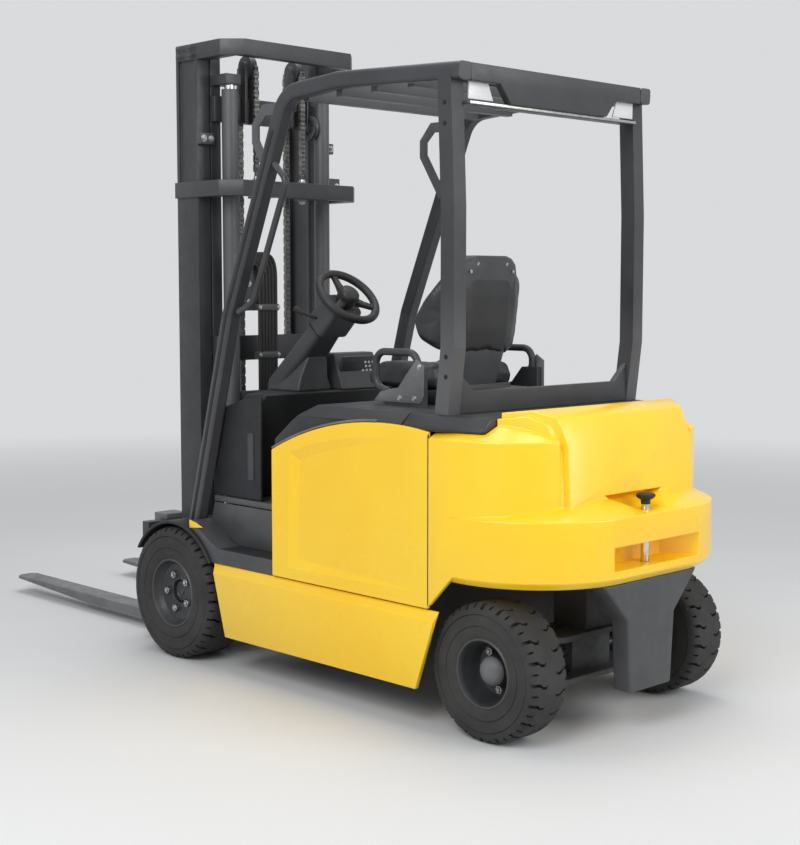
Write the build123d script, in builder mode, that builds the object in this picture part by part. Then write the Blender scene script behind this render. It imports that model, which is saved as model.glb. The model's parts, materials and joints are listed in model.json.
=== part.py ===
import os
from math import cos, hypot, radians, sin

from build123d import *

os.makedirs("parts", exist_ok=True)

# Main stations along the truck. X points to the fork tips, Y to the driver's left, Z up.
WHEEL_BASE = 1595.0
LOAD_DISTANCE = 425.0
FORK_LENGTH = 1150.0
REAR_OVERHANG = 310.0
FRONT_AXLE_X = (WHEEL_BASE + REAR_OVERHANG - LOAD_DISTANCE - FORK_LENGTH) / 2
REAR_AXLE_X = FRONT_AXLE_X - WHEEL_BASE
FORK_FACE_X = FRONT_AXLE_X + LOAD_DISTANCE
FORK_TIP_X = FORK_FACE_X + FORK_LENGTH
REAR_END_X = REAR_AXLE_X - REAR_OVERHANG
SEAM_REACH = 1404.0
SEAM_X = FRONT_AXLE_X - SEAM_REACH
COVER_SEAM_REACH = 1270.0
COVER_SEAM_X = FRONT_AXLE_X - COVER_SEAM_REACH
PANEL_FRONT_REACH = 614.0
PANEL_FRONT_X = FRONT_AXLE_X - PANEL_FRONT_REACH
FLOOR_FRONT_REACH = 280.0
FLOOR_FRONT_X = FRONT_AXLE_X - FLOOR_FRONT_REACH
BOX_REAR_REACH = 330.0
BOX_REAR_X = REAR_AXLE_X + BOX_REAR_REACH
SKIRT_FRONT_TOP_REACH = 252.0
SKIRT_FRONT_TOP_X = FRONT_AXLE_X - SKIRT_FRONT_TOP_REACH
SKIRT_FRONT_FOOT_REACH = 331.0
SKIRT_FRONT_FOOT_X = FRONT_AXLE_X - SKIRT_FRONT_FOOT_REACH
SKIRT_REAR_FOOT_REACH = 1345.0
SKIRT_REAR_FOOT_X = FRONT_AXLE_X - SKIRT_REAR_FOOT_REACH
SKIRT_REAR_TOP_REACH = 1440.0
SKIRT_REAR_TOP_X = FRONT_AXLE_X - SKIRT_REAR_TOP_REACH
PANEL_ARC_REACH = 850.0
PANEL_ARC_X = FRONT_AXLE_X - PANEL_ARC_REACH
RECESS_FRONT_REACH = 690.0
RECESS_FRONT_X = FRONT_AXLE_X - RECESS_FRONT_REACH
RECESS_FOOT_REACH = 790.0
RECESS_FOOT_X = FRONT_AXLE_X - RECESS_FOOT_REACH
RECESS_REAR_REACH = 1385.0
RECESS_REAR_X = FRONT_AXLE_X - RECESS_REAR_REACH
RECESS_ARC_REACH = 960.0
RECESS_ARC_X = FRONT_AXLE_X - RECESS_ARC_REACH

# Widths, measured from the middle plane
OVERALL_HALF_WIDTH = 567.0
BODY_INSET = 10.0
BODY_HALF_WIDTH = OVERALL_HALF_WIDTH - BODY_INSET
PANEL_THICKNESS = 17.0
REAR_TYRE_INSET = 55.0
REAR_TYRE_HALF_WIDTH = OVERALL_HALF_WIDTH - REAR_TYRE_INSET
DECK_INSET = 12.0
DECK_HALF_WIDTH = BODY_HALF_WIDTH - DECK_INSET
SIDES = (("left", 1), ("right", -1))

# Running clearances
PIN_GAP = 0.3
MOVE_GAP = 5.0
SEAM_GAP = 4.0

# Heights
SKIRT_BOTTOM_Z = 136.0
SKIRT_TOP_Z = 405.0
FLOOR_Z = 640.0
FLOOR_THICKNESS = 16.0
STEP_Z = 462.0
NOSE_FOOT_REACH = 225.0
NOSE_FOOT_X = FRONT_AXLE_X - NOSE_FOOT_REACH
NOSE_FOOT_Z = 482.0
NOSE_MIDDLE_REACH = 165.0
NOSE_MIDDLE_X = FRONT_AXLE_X - NOSE_MIDDLE_REACH
NOSE_MIDDLE_Z = 520.0
NOSE_TIP_REACH = 95.0
NOSE_TIP_X = FRONT_AXLE_X - NOSE_TIP_REACH
NOSE_TIP_Z = 552.0
STEP_WIDTH = 125.0
STEP_INNER_Y = DECK_HALF_WIDTH - STEP_WIDTH
PANEL_BOTTOM_Z = 422.0
PANEL_FRONT_TOP_Z = 868.0
PANEL_REAR_TOP_Z = 984.0
PANEL_ARC_Z = 955.0
RECESS_FRONT_TOP_Z = 860.0
RECESS_FRONT_FOOT_Z = 500.0
RECESS_FOOT_Z = 470.0
RECESS_TOP_Z = 930.0
RECESS_ARC_Z = 918.0
RECESS_DEPTH = 12.0
RECESS_BEVEL = 26.0
DECK_Z = 1036.0

# Wheels
FRONT_TYRE_DIAMETER = 514.0
FRONT_TYRE_WIDTH = 200.0
FRONT_RIM_RADIUS = 128.0
REAR_TYRE_DIAMETER = 450.0
REAR_TYRE_WIDTH = 170.0
REAR_RIM_RADIUS = 122.0
TYRE_SHOULDER = 26.0
TYRE_BULGE = 8.0
NOTCH_COUNT = 22
NOTCH_WIDTH = 9.0
NOTCH_DEPTH = 16.0
NOTCH_LENGTH = 40.0
RIM_WALL = 8.0
DISC_OFFSET = 30.0
DISC_THICKNESS = 16.0
HUB_RADIUS = 56.0
HUB_HEIGHT = 46.0
HUB_BORE_RADIUS = 30.0
NUT_CIRCLE_RADIUS = 72.0
NUT_RADIUS = 12.0
NUT_HEIGHT = 16.0
NUT_COUNT = 5
FRONT_WHEEL_Y = OVERALL_HALF_WIDTH - FRONT_TYRE_WIDTH / 2
FRONT_WHEEL_Z = FRONT_TYRE_DIAMETER / 2
REAR_WHEEL_Y = REAR_TYRE_HALF_WIDTH - REAR_TYRE_WIDTH / 2
REAR_WHEEL_Z = REAR_TYRE_DIAMETER / 2

# Steer axle
KING_PIN_OFFSET = 125.0
KING_PIN_Y = REAR_WHEEL_Y - KING_PIN_OFFSET
KING_PIN_RADIUS = 18.0
KNUCKLE_RADIUS = 32.0
KNUCKLE_HEIGHT = 124.0
AXLE_PLATE = 18.0
AXLE_END_HALF_WIDTH = 34.0
AXLE_MIDDLE_HALF_WIDTH = 88.0
AXLE_TAPER_LENGTH = 105.0
AXLE_HANGER_HALF_WIDTH = 70.0
STEER_CYLINDER_RADIUS = 36.0
STEER_CYLINDER_HALF_LENGTH = 100.0
STEER_ROD_RADIUS = 16.0
STEER_ROD_HALF_LENGTH = 185.0

# Outer mast
MAST_FRONT_REACH = 228.0
MAST_FRONT_X = FRONT_AXLE_X + MAST_FRONT_REACH
RAIL_DEPTH = 140.0
RAIL_REAR_X = MAST_FRONT_X - RAIL_DEPTH
RAIL_MIDDLE_X = MAST_FRONT_X - RAIL_DEPTH / 2
RAIL_TYRE_GAP = 22.0
RAIL_OUTER_Y = OVERALL_HALF_WIDTH - FRONT_TYRE_WIDTH - RAIL_TYRE_GAP
RAIL_WIDTH = 60.0
RAIL_FLANGE = 16.0
RAIL_WEB = 15.0
RAIL_RECESS = 12.0
RAIL_FOOT_Z = 75.0
RAIL_TOP_Z = 2337.0
MAST_TOP_Z = 2400.0
MID_TIE_Z = 1800.0
MID_TIE_HEIGHT = 62.0
TIE_REAR_REACH = 129.0
TIE_REAR_X = FRONT_AXLE_X - TIE_REAR_REACH
TIE_THICKNESS = 42.0
TIE_CORNER = 70.0
BEARING_RADIUS = 86.0
BEARING_WIDTH = 50.0
BEARING_FOOT = 129.0

# Inner mast
INNER_OUTER_Y = RAIL_OUTER_Y - RAIL_WIDTH - MOVE_GAP
INNER_WIDTH = 50.0
INNER_WEB = 14.0
INNER_FOOT_Z = 90.0
INNER_TOP_Z = 2390.0
CROSSBAR_DEPTH = 28.0
CROSSBAR_HEIGHT = 100.0
CROSSBAR_HEIGHTS = (110.0, 1150.0, 2100.0)
ROLLER_RADIUS = RAIL_DEPTH / 2 - RAIL_FLANGE - PIN_GAP
INNER_POCKET = (INNER_WIDTH - INNER_WEB) / 2

# Lift cylinders
LIFT_CYLINDER_REACH = 16.0
LIFT_CYLINDER_X = FRONT_AXLE_X + LIFT_CYLINDER_REACH
LIFT_CYLINDER_INSET = 105.0
LIFT_CYLINDER_Y = RAIL_OUTER_Y - LIFT_CYLINDER_INSET
LIFT_BARREL_RADIUS = 32.0
LIFT_FOOT_Z = 350.0
LIFT_FOOT_THICKNESS = 16.0
LIFT_BARREL_TOP_Z = 2222.0
LIFT_ROD_RADIUS = 20.0
LIFT_HEAD_Z = 2240.0
LIFT_HEAD_HEIGHT = 40.0

# Chains
CHAIN_Y = 120.0
CHAIN_WIDTH = 26.0
CHAIN_THICKNESS = 15.0
PULLEY_RADIUS = 44.0
PULLEY_WIDTH = 30.0
PULLEY_REACH = 52.0
PULLEY_X = FRONT_AXLE_X + PULLEY_REACH
PULLEY_Z = 2325.0
PULLEY_PIN_RADIUS = 14.0
CHAIN_FRONT_X = PULLEY_X + PULLEY_RADIUS + CHAIN_THICKNESS / 2
CHAIN_REAR_X = PULLEY_X - PULLEY_RADIUS - CHAIN_THICKNESS / 2
CHAIN_ANCHOR_Z = 400.0
CHAIN_FOOT_Z = 1905.0
CHAIN_ROD_RADIUS = 9.0

# Carriage and forks
CARRIAGE_HALF_WIDTH = 432.0
CARRIAGE_BAR_DEPTH = 45.0
CARRIAGE_BAR_HEIGHT = 98.0
CARRIAGE_BOTTOM_Z = 76.0
CARRIAGE_TOP_Z = 483.0
CARRIAGE_PLATE = 22.0
CARRIAGE_SIDE_GAP = 8.0
CARRIAGE_REAR_X = RAIL_REAR_X + 14.0
FORK_SPACING = 292.0
FORK_WIDTH = 100.0
FORK_THICKNESS = 42.0
FORK_TOP_Z = 78.0
FORK_TIP_THICKNESS = 12.0
FORK_TAPER_LENGTH = 620.0
FORK_NOSE = 22.0
FORK_HOOK = 24.0
FORK_BACK_X = FORK_FACE_X - FORK_THICKNESS

# Tilt cylinders
TILT_INSET = 41.0
TILT_Y = RAIL_OUTER_Y - TILT_INSET
TILT_EYE_REACH = 30.0
TILT_EYE_X = FRONT_AXLE_X + TILT_EYE_REACH
TILT_EYE_Z = 480.0
TILT_PIVOT_REACH = 470.0
TILT_PIVOT_X = FRONT_AXLE_X - TILT_PIVOT_REACH
TILT_PIVOT_Z = 340.0
TILT_BARREL_RADIUS = 30.0
TILT_BARREL_LENGTH = 380.0
TILT_ROD_RADIUS = 15.0
TILT_ROD_START = 250.0
TILT_EYE_RADIUS = 28.0
TILT_PIN_RADIUS = 13.0
TILT_EYE_GAP = 2.5
TILT_EYE_WIDTH = 28.0
TILT_LUG = 10.0
TILT_LUG_HALF_HEIGHT = 34.0

# Drive axle and frame
AXLE_TUBE_RADIUS = 58.0
AXLE_CASE_RADIUS = 92.0
AXLE_CASE_SET_BACK = 40.0
AXLE_CASE_HALF_WIDTH = 170.0
FRAME_PLATE_Y = RAIL_OUTER_Y + MOVE_GAP
FRAME_PLATE = 12.0
FRAME_BOTTOM_Z = 150.0
FRAME_FLOOR = 14.0
FRAME_BOX_INSET = 87.0
FRAME_BOX_Y = BODY_HALF_WIDTH - FRAME_BOX_INSET
BULKHEAD = 24.0
FRAME_SET_BACK = 70.0
FENDER_CLEARANCE = 14.0
FENDER_THICKNESS = 12.0
FENDER_RADIUS = FRONT_TYRE_DIAMETER / 2 + FENDER_CLEARANCE

# Counterweight
CW_BOTTOM_Z = 508.0
CW_SHELF_Z = 768.0
BUMPER_TOP_Z = 722.0
BUMPER_CORNER = 380.0
BUMPER_BEVEL = 24.0
SHELF_TAPER = 65.0
SHOULDER_REAR_REACH = 1790.0
SHOULDER_REAR_X = FRONT_AXLE_X - SHOULDER_REAR_REACH
SHOULDER_TOP_Z = 1026.0
SHOULDER_CORNER = 300.0
SHOULDER_DROP = 62.0
SHOULDER_SLOPE = 120.0
HUMP_FRONT_REACH = 1594.0
HUMP_FRONT_X = FRONT_AXLE_X - HUMP_FRONT_REACH
HUMP_FRONT_Z = 1050.0
HUMP_CREST_REACH = 1680.0
HUMP_CREST_X = FRONT_AXLE_X - HUMP_CREST_REACH
HUMP_TOP_Z = 1060.0
HUMP_EDGE_REACH = 1748.0
HUMP_EDGE_X = FRONT_AXLE_X - HUMP_EDGE_REACH
HUMP_EDGE_Z = 1036.0
HUMP_FACE_REACH = 1790.0
HUMP_FACE_X = FRONT_AXLE_X - HUMP_FACE_REACH
HUMP_FACE_Z = 950.0
HUMP_REAR_REACH = 1803.0
HUMP_REAR_X = FRONT_AXLE_X - HUMP_REAR_REACH
HUMP_INSET = 137.0
HUMP_FRONT_HALF_WIDTH = BODY_HALF_WIDTH - HUMP_INSET
HUMP_BEND_REACH = 1760.0
HUMP_BEND_X = FRONT_AXLE_X - HUMP_BEND_REACH
HUMP_TAPER = 94.0
HUMP_REAR_HALF_WIDTH = HUMP_FRONT_HALF_WIDTH - HUMP_TAPER
GROOVE_WIDTH = 20.0
GROOVE_DEPTH = 18.0
TOW_PIN_REACH = 1848.0
TOW_PIN_X = FRONT_AXLE_X - TOW_PIN_REACH
TOW_PIN_RADIUS = 14.0
TOW_PIN_TOP_Z = 780.0
TOW_RECESS_Z = 728.0
TOW_RECESS_DEPTH = 60.0
TOW_RECESS_HALF_WIDTH = 60.0
TOW_RECESS_FLARE = 60.0
TOW_KNOB_RADIUS = 32.0
TOW_KNOB_HEIGHT = 34.0
TOW_SLOT_HALF_WIDTH = 230.0
TOW_SLOT_BOTTOM_Z = 556.0
TOW_SLOT_HEIGHT = 76.0
TOW_SLOT_DEPTH = 110.0
TOW_SLOT_INNER_HALF_WIDTH = 150.0
APRON_TOP_HALF_WIDTH = 250.0
APRON_WAIST_HALF_WIDTH = 125.0
APRON_WAIST_Z = 378.0
APRON_BOTTOM_HALF_WIDTH = 109.0
APRON_BOTTOM_Z = 140.0
APRON_REAR_REACH = 1881.0
APRON_REAR_X = FRONT_AXLE_X - APRON_REAR_REACH
APRON_THICKNESS = 72.0

# Driver's place
STEERING_Y = 130.0
STEERING_REACH = 553.0
STEERING_X = FRONT_AXLE_X - STEERING_REACH
STEERING_Z = 1409.0
STEERING_RADIUS = 122.0
STEERING_GRIP_RADIUS = 14.0
STEERING_HUB_RADIUS = 38.0
COLUMN_RADIUS = 26.0
COLUMN_FOOT_WIDTH = 170.0
COLUMN_FOOT_DEPTH = 90.0
COLUMN_NECK_WIDTH = 130.0
COLUMN_NECK_DEPTH = 72.0
COLUMN_LENGTH = 560.0
COLUMN_HEAD_LENGTH = 170.0
COLUMN_HEAD_WIDTH = 150.0
COLUMN_HEAD_DEPTH = 110.0
STEERING_RAKE = 45.5
COWL_INSET = 109.0
COWL_HALF_WIDTH = DECK_HALF_WIDTH - COWL_INSET
COWL_FRONT_REACH = 205.0
COWL_FRONT_X = FRONT_AXLE_X - COWL_FRONT_REACH
COWL_WALL = 24.0
COWL_FOOT_Z = 486.0
COWL_WING_Z = 968.0
COWL_CROWN_INSET = 26.0
COWL_CROWN_HALF_WIDTH = COWL_HALF_WIDTH - COWL_CROWN_INSET
COWL_TOP_Z = 1045.0
COWL_BROW_REACH = 245.0
COWL_BROW_X = FRONT_AXLE_X - COWL_BROW_REACH
COWL_BROW_Z = 985.0
BULGE_FRONT_REACH = 170.0
BULGE_FRONT_X = FRONT_AXLE_X - BULGE_FRONT_REACH
BULGE_TOP_REACH = 195.0
BULGE_TOP_X = FRONT_AXLE_X - BULGE_TOP_REACH
BULGE_FOOT_Z = 890.0
BULGE_HALF_WIDTH = 300.0
DASH_FRONT_REACH = 285.0
DASH_FRONT_X = FRONT_AXLE_X - DASH_FRONT_REACH
DASH_REAR_REACH = 405.0
DASH_REAR_X = FRONT_AXLE_X - DASH_REAR_REACH
DASH_FOOT_REACH = 355.0
DASH_FOOT_X = FRONT_AXLE_X - DASH_FOOT_REACH
DASH_FOOT_Z = 925.0
CONSOLE_INNER_Y = -20.0
CONSOLE_OUTER_Y = 196.0
CONSOLE_HEIGHT = 142.0
CONSOLE_TOP_DEPTH = 62.0
SEAT_HALF_WIDTH = 235.0
SEAT_FRONT_REACH = 720.0
SEAT_FRONT_X = FRONT_AXLE_X - SEAT_FRONT_REACH
SEAT_BACK_REACH = 1175.0
SEAT_BACK_X = FRONT_AXLE_X - SEAT_BACK_REACH
SEAT_CUSHION_Z = 1085.0
SEAT_CUSHION_HEIGHT = 100.0
SEAT_TOP_Z = 1548.0
SEAT_SHELL = 26.0
SEAT_BACK_DEPTH = 50.0
SEAT_RAKE = 60.0
SEAT_BASE_SET_BACK = 95.0
SHELL_HALF_WIDTH = 160.0
BOLSTER_INNER_Y = 120.0
BOLSTER_TOP_DEPTH = 30.0
BOLSTER_HIGH_REACH = 1058.0
BOLSTER_HIGH_X = FRONT_AXLE_X - BOLSTER_HIGH_REACH
BOLSTER_HIGH_Z = 1460.0
BOLSTER_FRONT_REACH = 970.0
BOLSTER_FRONT_X = FRONT_AXLE_X - BOLSTER_FRONT_REACH
BOLSTER_FRONT_Z = 1338.0
BOLSTER_LOW_REACH = 1003.0
BOLSTER_LOW_X = FRONT_AXLE_X - BOLSTER_LOW_REACH
BOLSTER_LOW_Z = 1264.0
SEAT_GAP = 0.5
RESTRAINT_Y = 300.0
RESTRAINT_RADIUS = 13.0
RESTRAINT_BEND = 45.0
RESTRAINT_REAR_REACH = 1134.0
RESTRAINT_REAR_X = FRONT_AXLE_X - RESTRAINT_REAR_REACH
RESTRAINT_PLATE_TOP = 74.0
RESTRAINT_PLATE_FOOT = 174.0
RESTRAINT_PLATE_Z = 1150.0
RESTRAINT_LOOP_REACH = 1100.0
RESTRAINT_LOOP_X = FRONT_AXLE_X - RESTRAINT_LOOP_REACH
RESTRAINT_FRONT_REACH = 890.0
RESTRAINT_FRONT_X = FRONT_AXLE_X - RESTRAINT_FRONT_REACH
RESTRAINT_RETURN_REACH = 1010.0
RESTRAINT_RETURN_X = FRONT_AXLE_X - RESTRAINT_RETURN_REACH
RESTRAINT_TOP_Z = 1220.0
RESTRAINT_LOW_Z = 1100.0
RESTRAINT_RETURN_Z = 1060.0
HOOD_FRONT_X = PANEL_FRONT_X - SEAM_GAP
HOOD_CREST_REACH = 805.0
HOOD_CREST_X = FRONT_AXLE_X - HOOD_CREST_REACH
HOOD_BROW_REACH = 710.0
HOOD_BROW_X = FRONT_AXLE_X - HOOD_BROW_REACH
HOOD_BROW_Z = 975.0
HOOD_REAR_X = COVER_SEAM_X + MOVE_GAP
HOOD_LIP = 37.0
HOOD_EDGE_DROP = 36.0
HOOD_EDGE_SLOPE = 42.0
COVER_REAR_X = HUMP_FRONT_X + SEAM_GAP
COVER_TAPER = 45.0
COVER_REAR_HALF_WIDTH = DECK_HALF_WIDTH - COVER_TAPER
HINGE_Y = 300.0
HINGE_RADIUS = 9.0
HINGE_PIN_RADIUS = 4.0
HINGE_LENGTH = 45.0

# Overhead guard
GUARD_INSET = 50.0
GUARD_OUTER_Y = DECK_HALF_WIDTH - GUARD_INSET
GUARD_TUBE = 56.0
GUARD_CORNER = 12.0
PILLAR_DEPTH = 59.0
PILLAR_REAR_REACH = 1440.0
PILLAR_REAR_X = FRONT_AXLE_X - PILLAR_REAR_REACH
PILLAR_BOW = 17.0
PILLAR_KICK = 9.0
PILLAR_KNEE_Z = 1250.0
PILLAR_WAIST_Z = 1700.0
GUARD_TOP_Z = 2150.0
GUARD_REAR_REACH = 1477.0
GUARD_REAR_X = FRONT_AXLE_X - GUARD_REAR_REACH
GUARD_BEND = 120.0
GUARD_MIDDLE_Y = GUARD_OUTER_Y - GUARD_TUBE / 2
GUARD_INNER_Y = GUARD_OUTER_Y - GUARD_TUBE
LEG_FOOT_REACH = 48.0
LEG_FOOT_X = FRONT_AXLE_X - LEG_FOOT_REACH
LEG_KNEE_REACH = 275.0
LEG_KNEE_X = FRONT_AXLE_X - LEG_KNEE_REACH
LEG_KNEE_Z = 1341.0
LEG_HEAD_REACH = 610.0
LEG_HEAD_X = FRONT_AXLE_X - LEG_HEAD_REACH
LEG_HEAD_Z = 2128.0
ROOF_CREST_REACH = 900.0
ROOF_CREST_X = FRONT_AXLE_X - ROOF_CREST_REACH
ROOF_CREST_Z = 2148.0
VISOR_TOP_HALF_WIDTH = 300.0
VISOR_FOOT_HALF_WIDTH = 250.0
VISOR_FOOT_Z = 2034.0
VISOR_BAR = 12.0
HEADER_DEPTH = 30.0
SLAT_COUNT = 5
SLAT_DEPTH = 30.0
SLAT_HEIGHT = 46.0
SLAT_FRONT_REACH = 680.0
SLAT_FRONT_X = FRONT_AXLE_X - SLAT_FRONT_REACH
SLAT_REAR_X = PILLAR_REAR_X + PILLAR_DEPTH
BEAM_HEIGHT = 72.0
BEAM_DEPTH = 24.0
GUSSET_WIDTH = 70.0
GUSSET_HEIGHT = 64.0
LAMP_ROOT_REACH = 620.0
LAMP_ROOT_X = FRONT_AXLE_X - LAMP_ROOT_REACH
LAMP_TOP_Z = 2108.0
LAMP_BROW_REACH = 433.0
LAMP_BROW_X = FRONT_AXLE_X - LAMP_BROW_REACH
LAMP_TIP_REACH = 372.0
LAMP_TIP_X = FRONT_AXLE_X - LAMP_TIP_REACH
LAMP_TIP_Z = 2040.0
LAMP_CHIN_Z = 1972.0
LAMP_FOOT_REACH = 483.0
LAMP_FOOT_X = FRONT_AXLE_X - LAMP_FOOT_REACH
LAMP_FOOT_Z = 1800.0
LAMP_BAND = 40.0
LAMP_PLATE = 6.0
HANDLE_RADIUS = 12.0
HANDLE_BEND = 45.0
HANDLE_TOP_REACH = 520.0
HANDLE_TOP_X = FRONT_AXLE_X - HANDLE_TOP_REACH
HANDLE_TOP_Z = 1900.0
HANDLE_FOOT_REACH = 318.0
HANDLE_FOOT_X = FRONT_AXLE_X - HANDLE_FOOT_REACH
HANDLE_FOOT_Z = 1355.0
HANDLE_REACH = 85.0
HANDLE_DROP = 75.0
HANDLE_RISE = 32.0


def side_plane(y):
    """Sketch plane along the truck at distance y from the middle, drawn in x and z."""
    return Plane.XZ.offset(-y)


def wheel_plane(x, y, z, side):
    """Sketch plane through a wheel's axis: first axis outwards along the axle, second upwards."""
    return Plane(origin=(x, y, z), x_dir=(0, side, 0), z_dir=(side, 0, 0))


# Tyres and rims: each turned about its axle, the tyres notched at the shoulders, the rims with hub and nuts
WHEELS = [
    (f"{end}_{hand}", x, side * y, z, side, width, rim)
    for hand, side in SIDES
    for end, x, y, z, width, rim in (
        ("front", FRONT_AXLE_X, FRONT_WHEEL_Y, FRONT_WHEEL_Z, FRONT_TYRE_WIDTH, FRONT_RIM_RADIUS),
        ("rear", REAR_AXLE_X, REAR_WHEEL_Y, REAR_WHEEL_Z, REAR_TYRE_WIDTH, REAR_RIM_RADIUS),
    )
]
for wheel_name, x, y, z, side, width, rim in WHEELS:
    half = width / 2
    axle_line = Axis((x, y, z), (0, 1, 0))
    with BuildPart() as notch:
        with BuildSketch(wheel_plane(x, y, z, side)):
            with Locations((half, z), (-half, z)):
                Rectangle(2 * NOTCH_LENGTH, 2 * NOTCH_DEPTH)
        extrude(amount=NOTCH_WIDTH / 2, both=True)
    notches = [notch.part.rotate(axle_line, i * 360 / NOTCH_COUNT) for i in range(NOTCH_COUNT)]
    with BuildPart() as tyre:
        with BuildSketch(wheel_plane(x, y, z, side)) as section:
            with BuildLine():
                Polyline(
                    (-half + TYRE_BULGE, rim + PIN_GAP),
                    (-half, (rim + z) / 2),
                    (-half + TYRE_BULGE, z),
                    (half - TYRE_BULGE, z),
                    (half, (rim + z) / 2),
                    (half - TYRE_BULGE, rim + PIN_GAP),
                    close=True,
                )
            make_face()
            fillet(section.vertices().group_by(Axis.Z)[-1], TYRE_SHOULDER)
        revolve(axis=axle_line)
        add(notches, mode=Mode.SUBTRACT)
    tyre.part.label = f"{wheel_name}_tyre"
    export_step(tyre.part, f"parts/{wheel_name}_tyre.step")

    lip = half - TYRE_BULGE - RIM_WALL
    with BuildPart() as rim_part:
        with BuildSketch(wheel_plane(x, y, z, side)):
            with BuildLine():
                Polyline(
                    (lip, rim),
                    (lip, rim - RIM_WALL),
                    (DISC_OFFSET, rim - 2 * RIM_WALL),
                    (DISC_OFFSET, HUB_RADIUS),
                    (DISC_OFFSET + HUB_HEIGHT, HUB_RADIUS - RIM_WALL),
                    (DISC_OFFSET + HUB_HEIGHT + RIM_WALL, 0),
                    (DISC_OFFSET, 0),
                    (DISC_OFFSET, HUB_BORE_RADIUS + PIN_GAP),
                    (-DISC_OFFSET, HUB_BORE_RADIUS + PIN_GAP),
                    (-DISC_OFFSET, HUB_RADIUS),
                    (DISC_OFFSET - DISC_THICKNESS, HUB_RADIUS),
                    (DISC_OFFSET - DISC_THICKNESS, rim - 2 * RIM_WALL),
                    (-lip, rim - RIM_WALL),
                    (-lip, rim),
                    close=True,
                )
            make_face()
        revolve(axis=axle_line)
        disc_face = Plane(origin=(x, y + side * DISC_OFFSET, z), x_dir=(1, 0, 0), z_dir=(0, side, 0))
        with BuildSketch(disc_face):
            with PolarLocations(NUT_CIRCLE_RADIUS, NUT_COUNT):
                RegularPolygon(NUT_RADIUS, 6)
        extrude(amount=NUT_HEIGHT)
    rim_part.part.label = f"{wheel_name}_rim"
    export_step(rim_part.part, f"parts/{wheel_name}_rim.step")

# Drive axle: tube with a gear case in the middle and a stub in each front hub
with BuildPart() as drive_axle:
    with BuildSketch(Plane.XZ):
        with Locations((FRONT_AXLE_X, FRONT_WHEEL_Z)):
            Circle(AXLE_TUBE_RADIUS)
    extrude(amount=FRONT_WHEEL_Y - DISC_OFFSET - MOVE_GAP, both=True)
    with BuildSketch(Plane.XZ):
        with Locations((FRONT_AXLE_X, FRONT_WHEEL_Z)):
            Circle(HUB_BORE_RADIUS)
    extrude(amount=FRONT_WHEEL_Y + DISC_OFFSET - MOVE_GAP, both=True)
    with BuildSketch(Plane.XZ):
        with Locations((FRONT_AXLE_X - AXLE_CASE_SET_BACK, FRONT_WHEEL_Z)):
            Circle(AXLE_CASE_RADIUS)
    extrude(amount=AXLE_CASE_HALF_WIDTH, both=True)
drive_axle.part.label = "drive_axle"
export_step(drive_axle.part, "parts/drive_axle.step")

# Steer axle: two tapered plates, a hanger under the counterweight and the steering cylinder's barrel
AXLE_TOP_Z = REAR_WHEEL_Z + KNUCKLE_HEIGHT / 2 + PIN_GAP
with BuildPart() as steer_axle:
    for z in (AXLE_TOP_Z, REAR_WHEEL_Z - KNUCKLE_HEIGHT / 2 - PIN_GAP - AXLE_PLATE):
        with BuildSketch(Plane.XY.offset(z)):
            with Locations((REAR_AXLE_X, 0)):
                Rectangle(2 * AXLE_MIDDLE_HALF_WIDTH, 2 * (KING_PIN_Y - AXLE_TAPER_LENGTH))
            for hand, side in SIDES:
                with BuildLine():
                    Polyline(
                        (REAR_AXLE_X - AXLE_MIDDLE_HALF_WIDTH, side * (KING_PIN_Y - AXLE_TAPER_LENGTH)),
                        (REAR_AXLE_X - AXLE_END_HALF_WIDTH, side * KING_PIN_Y),
                        (REAR_AXLE_X + AXLE_END_HALF_WIDTH, side * KING_PIN_Y),
                        (REAR_AXLE_X + AXLE_MIDDLE_HALF_WIDTH, side * (KING_PIN_Y - AXLE_TAPER_LENGTH)),
                        close=True,
                    )
                make_face()
                with Locations((REAR_AXLE_X, side * KING_PIN_Y)):
                    Circle(AXLE_END_HALF_WIDTH)
                    Circle(KING_PIN_RADIUS + PIN_GAP, mode=Mode.SUBTRACT)
        extrude(amount=AXLE_PLATE)
    with BuildSketch(Plane.XZ):
        with Locations((REAR_AXLE_X, REAR_WHEEL_Z)):
            Circle(STEER_CYLINDER_RADIUS)
            Rectangle(2 * STEER_CYLINDER_RADIUS, KNUCKLE_HEIGHT + 2 * PIN_GAP)
            Circle(STEER_ROD_RADIUS + PIN_GAP, mode=Mode.SUBTRACT)
    extrude(amount=STEER_CYLINDER_HALF_LENGTH, both=True)
    with BuildSketch(Plane.XY.offset(AXLE_TOP_Z + AXLE_PLATE)):
        with Locations((REAR_AXLE_X, 0)):
            Rectangle(2 * AXLE_HANGER_HALF_WIDTH, 2 * AXLE_HANGER_HALF_WIDTH)
    extrude(amount=CW_BOTTOM_Z - AXLE_TOP_Z - AXLE_PLATE)
steer_axle.part.label = "steer_axle"
export_step(steer_axle.part, "parts/steer_axle.step")

# Steering rod: runs right through the steering cylinder
with BuildPart() as steer_rod:
    with BuildSketch(Plane.XZ):
        with Locations((REAR_AXLE_X, REAR_WHEEL_Z)):
            Circle(STEER_ROD_RADIUS)
    extrude(amount=STEER_ROD_HALF_LENGTH, both=True)
steer_rod.part.label = "steer_rod"
export_step(steer_rod.part, "parts/steer_rod.step")

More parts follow.
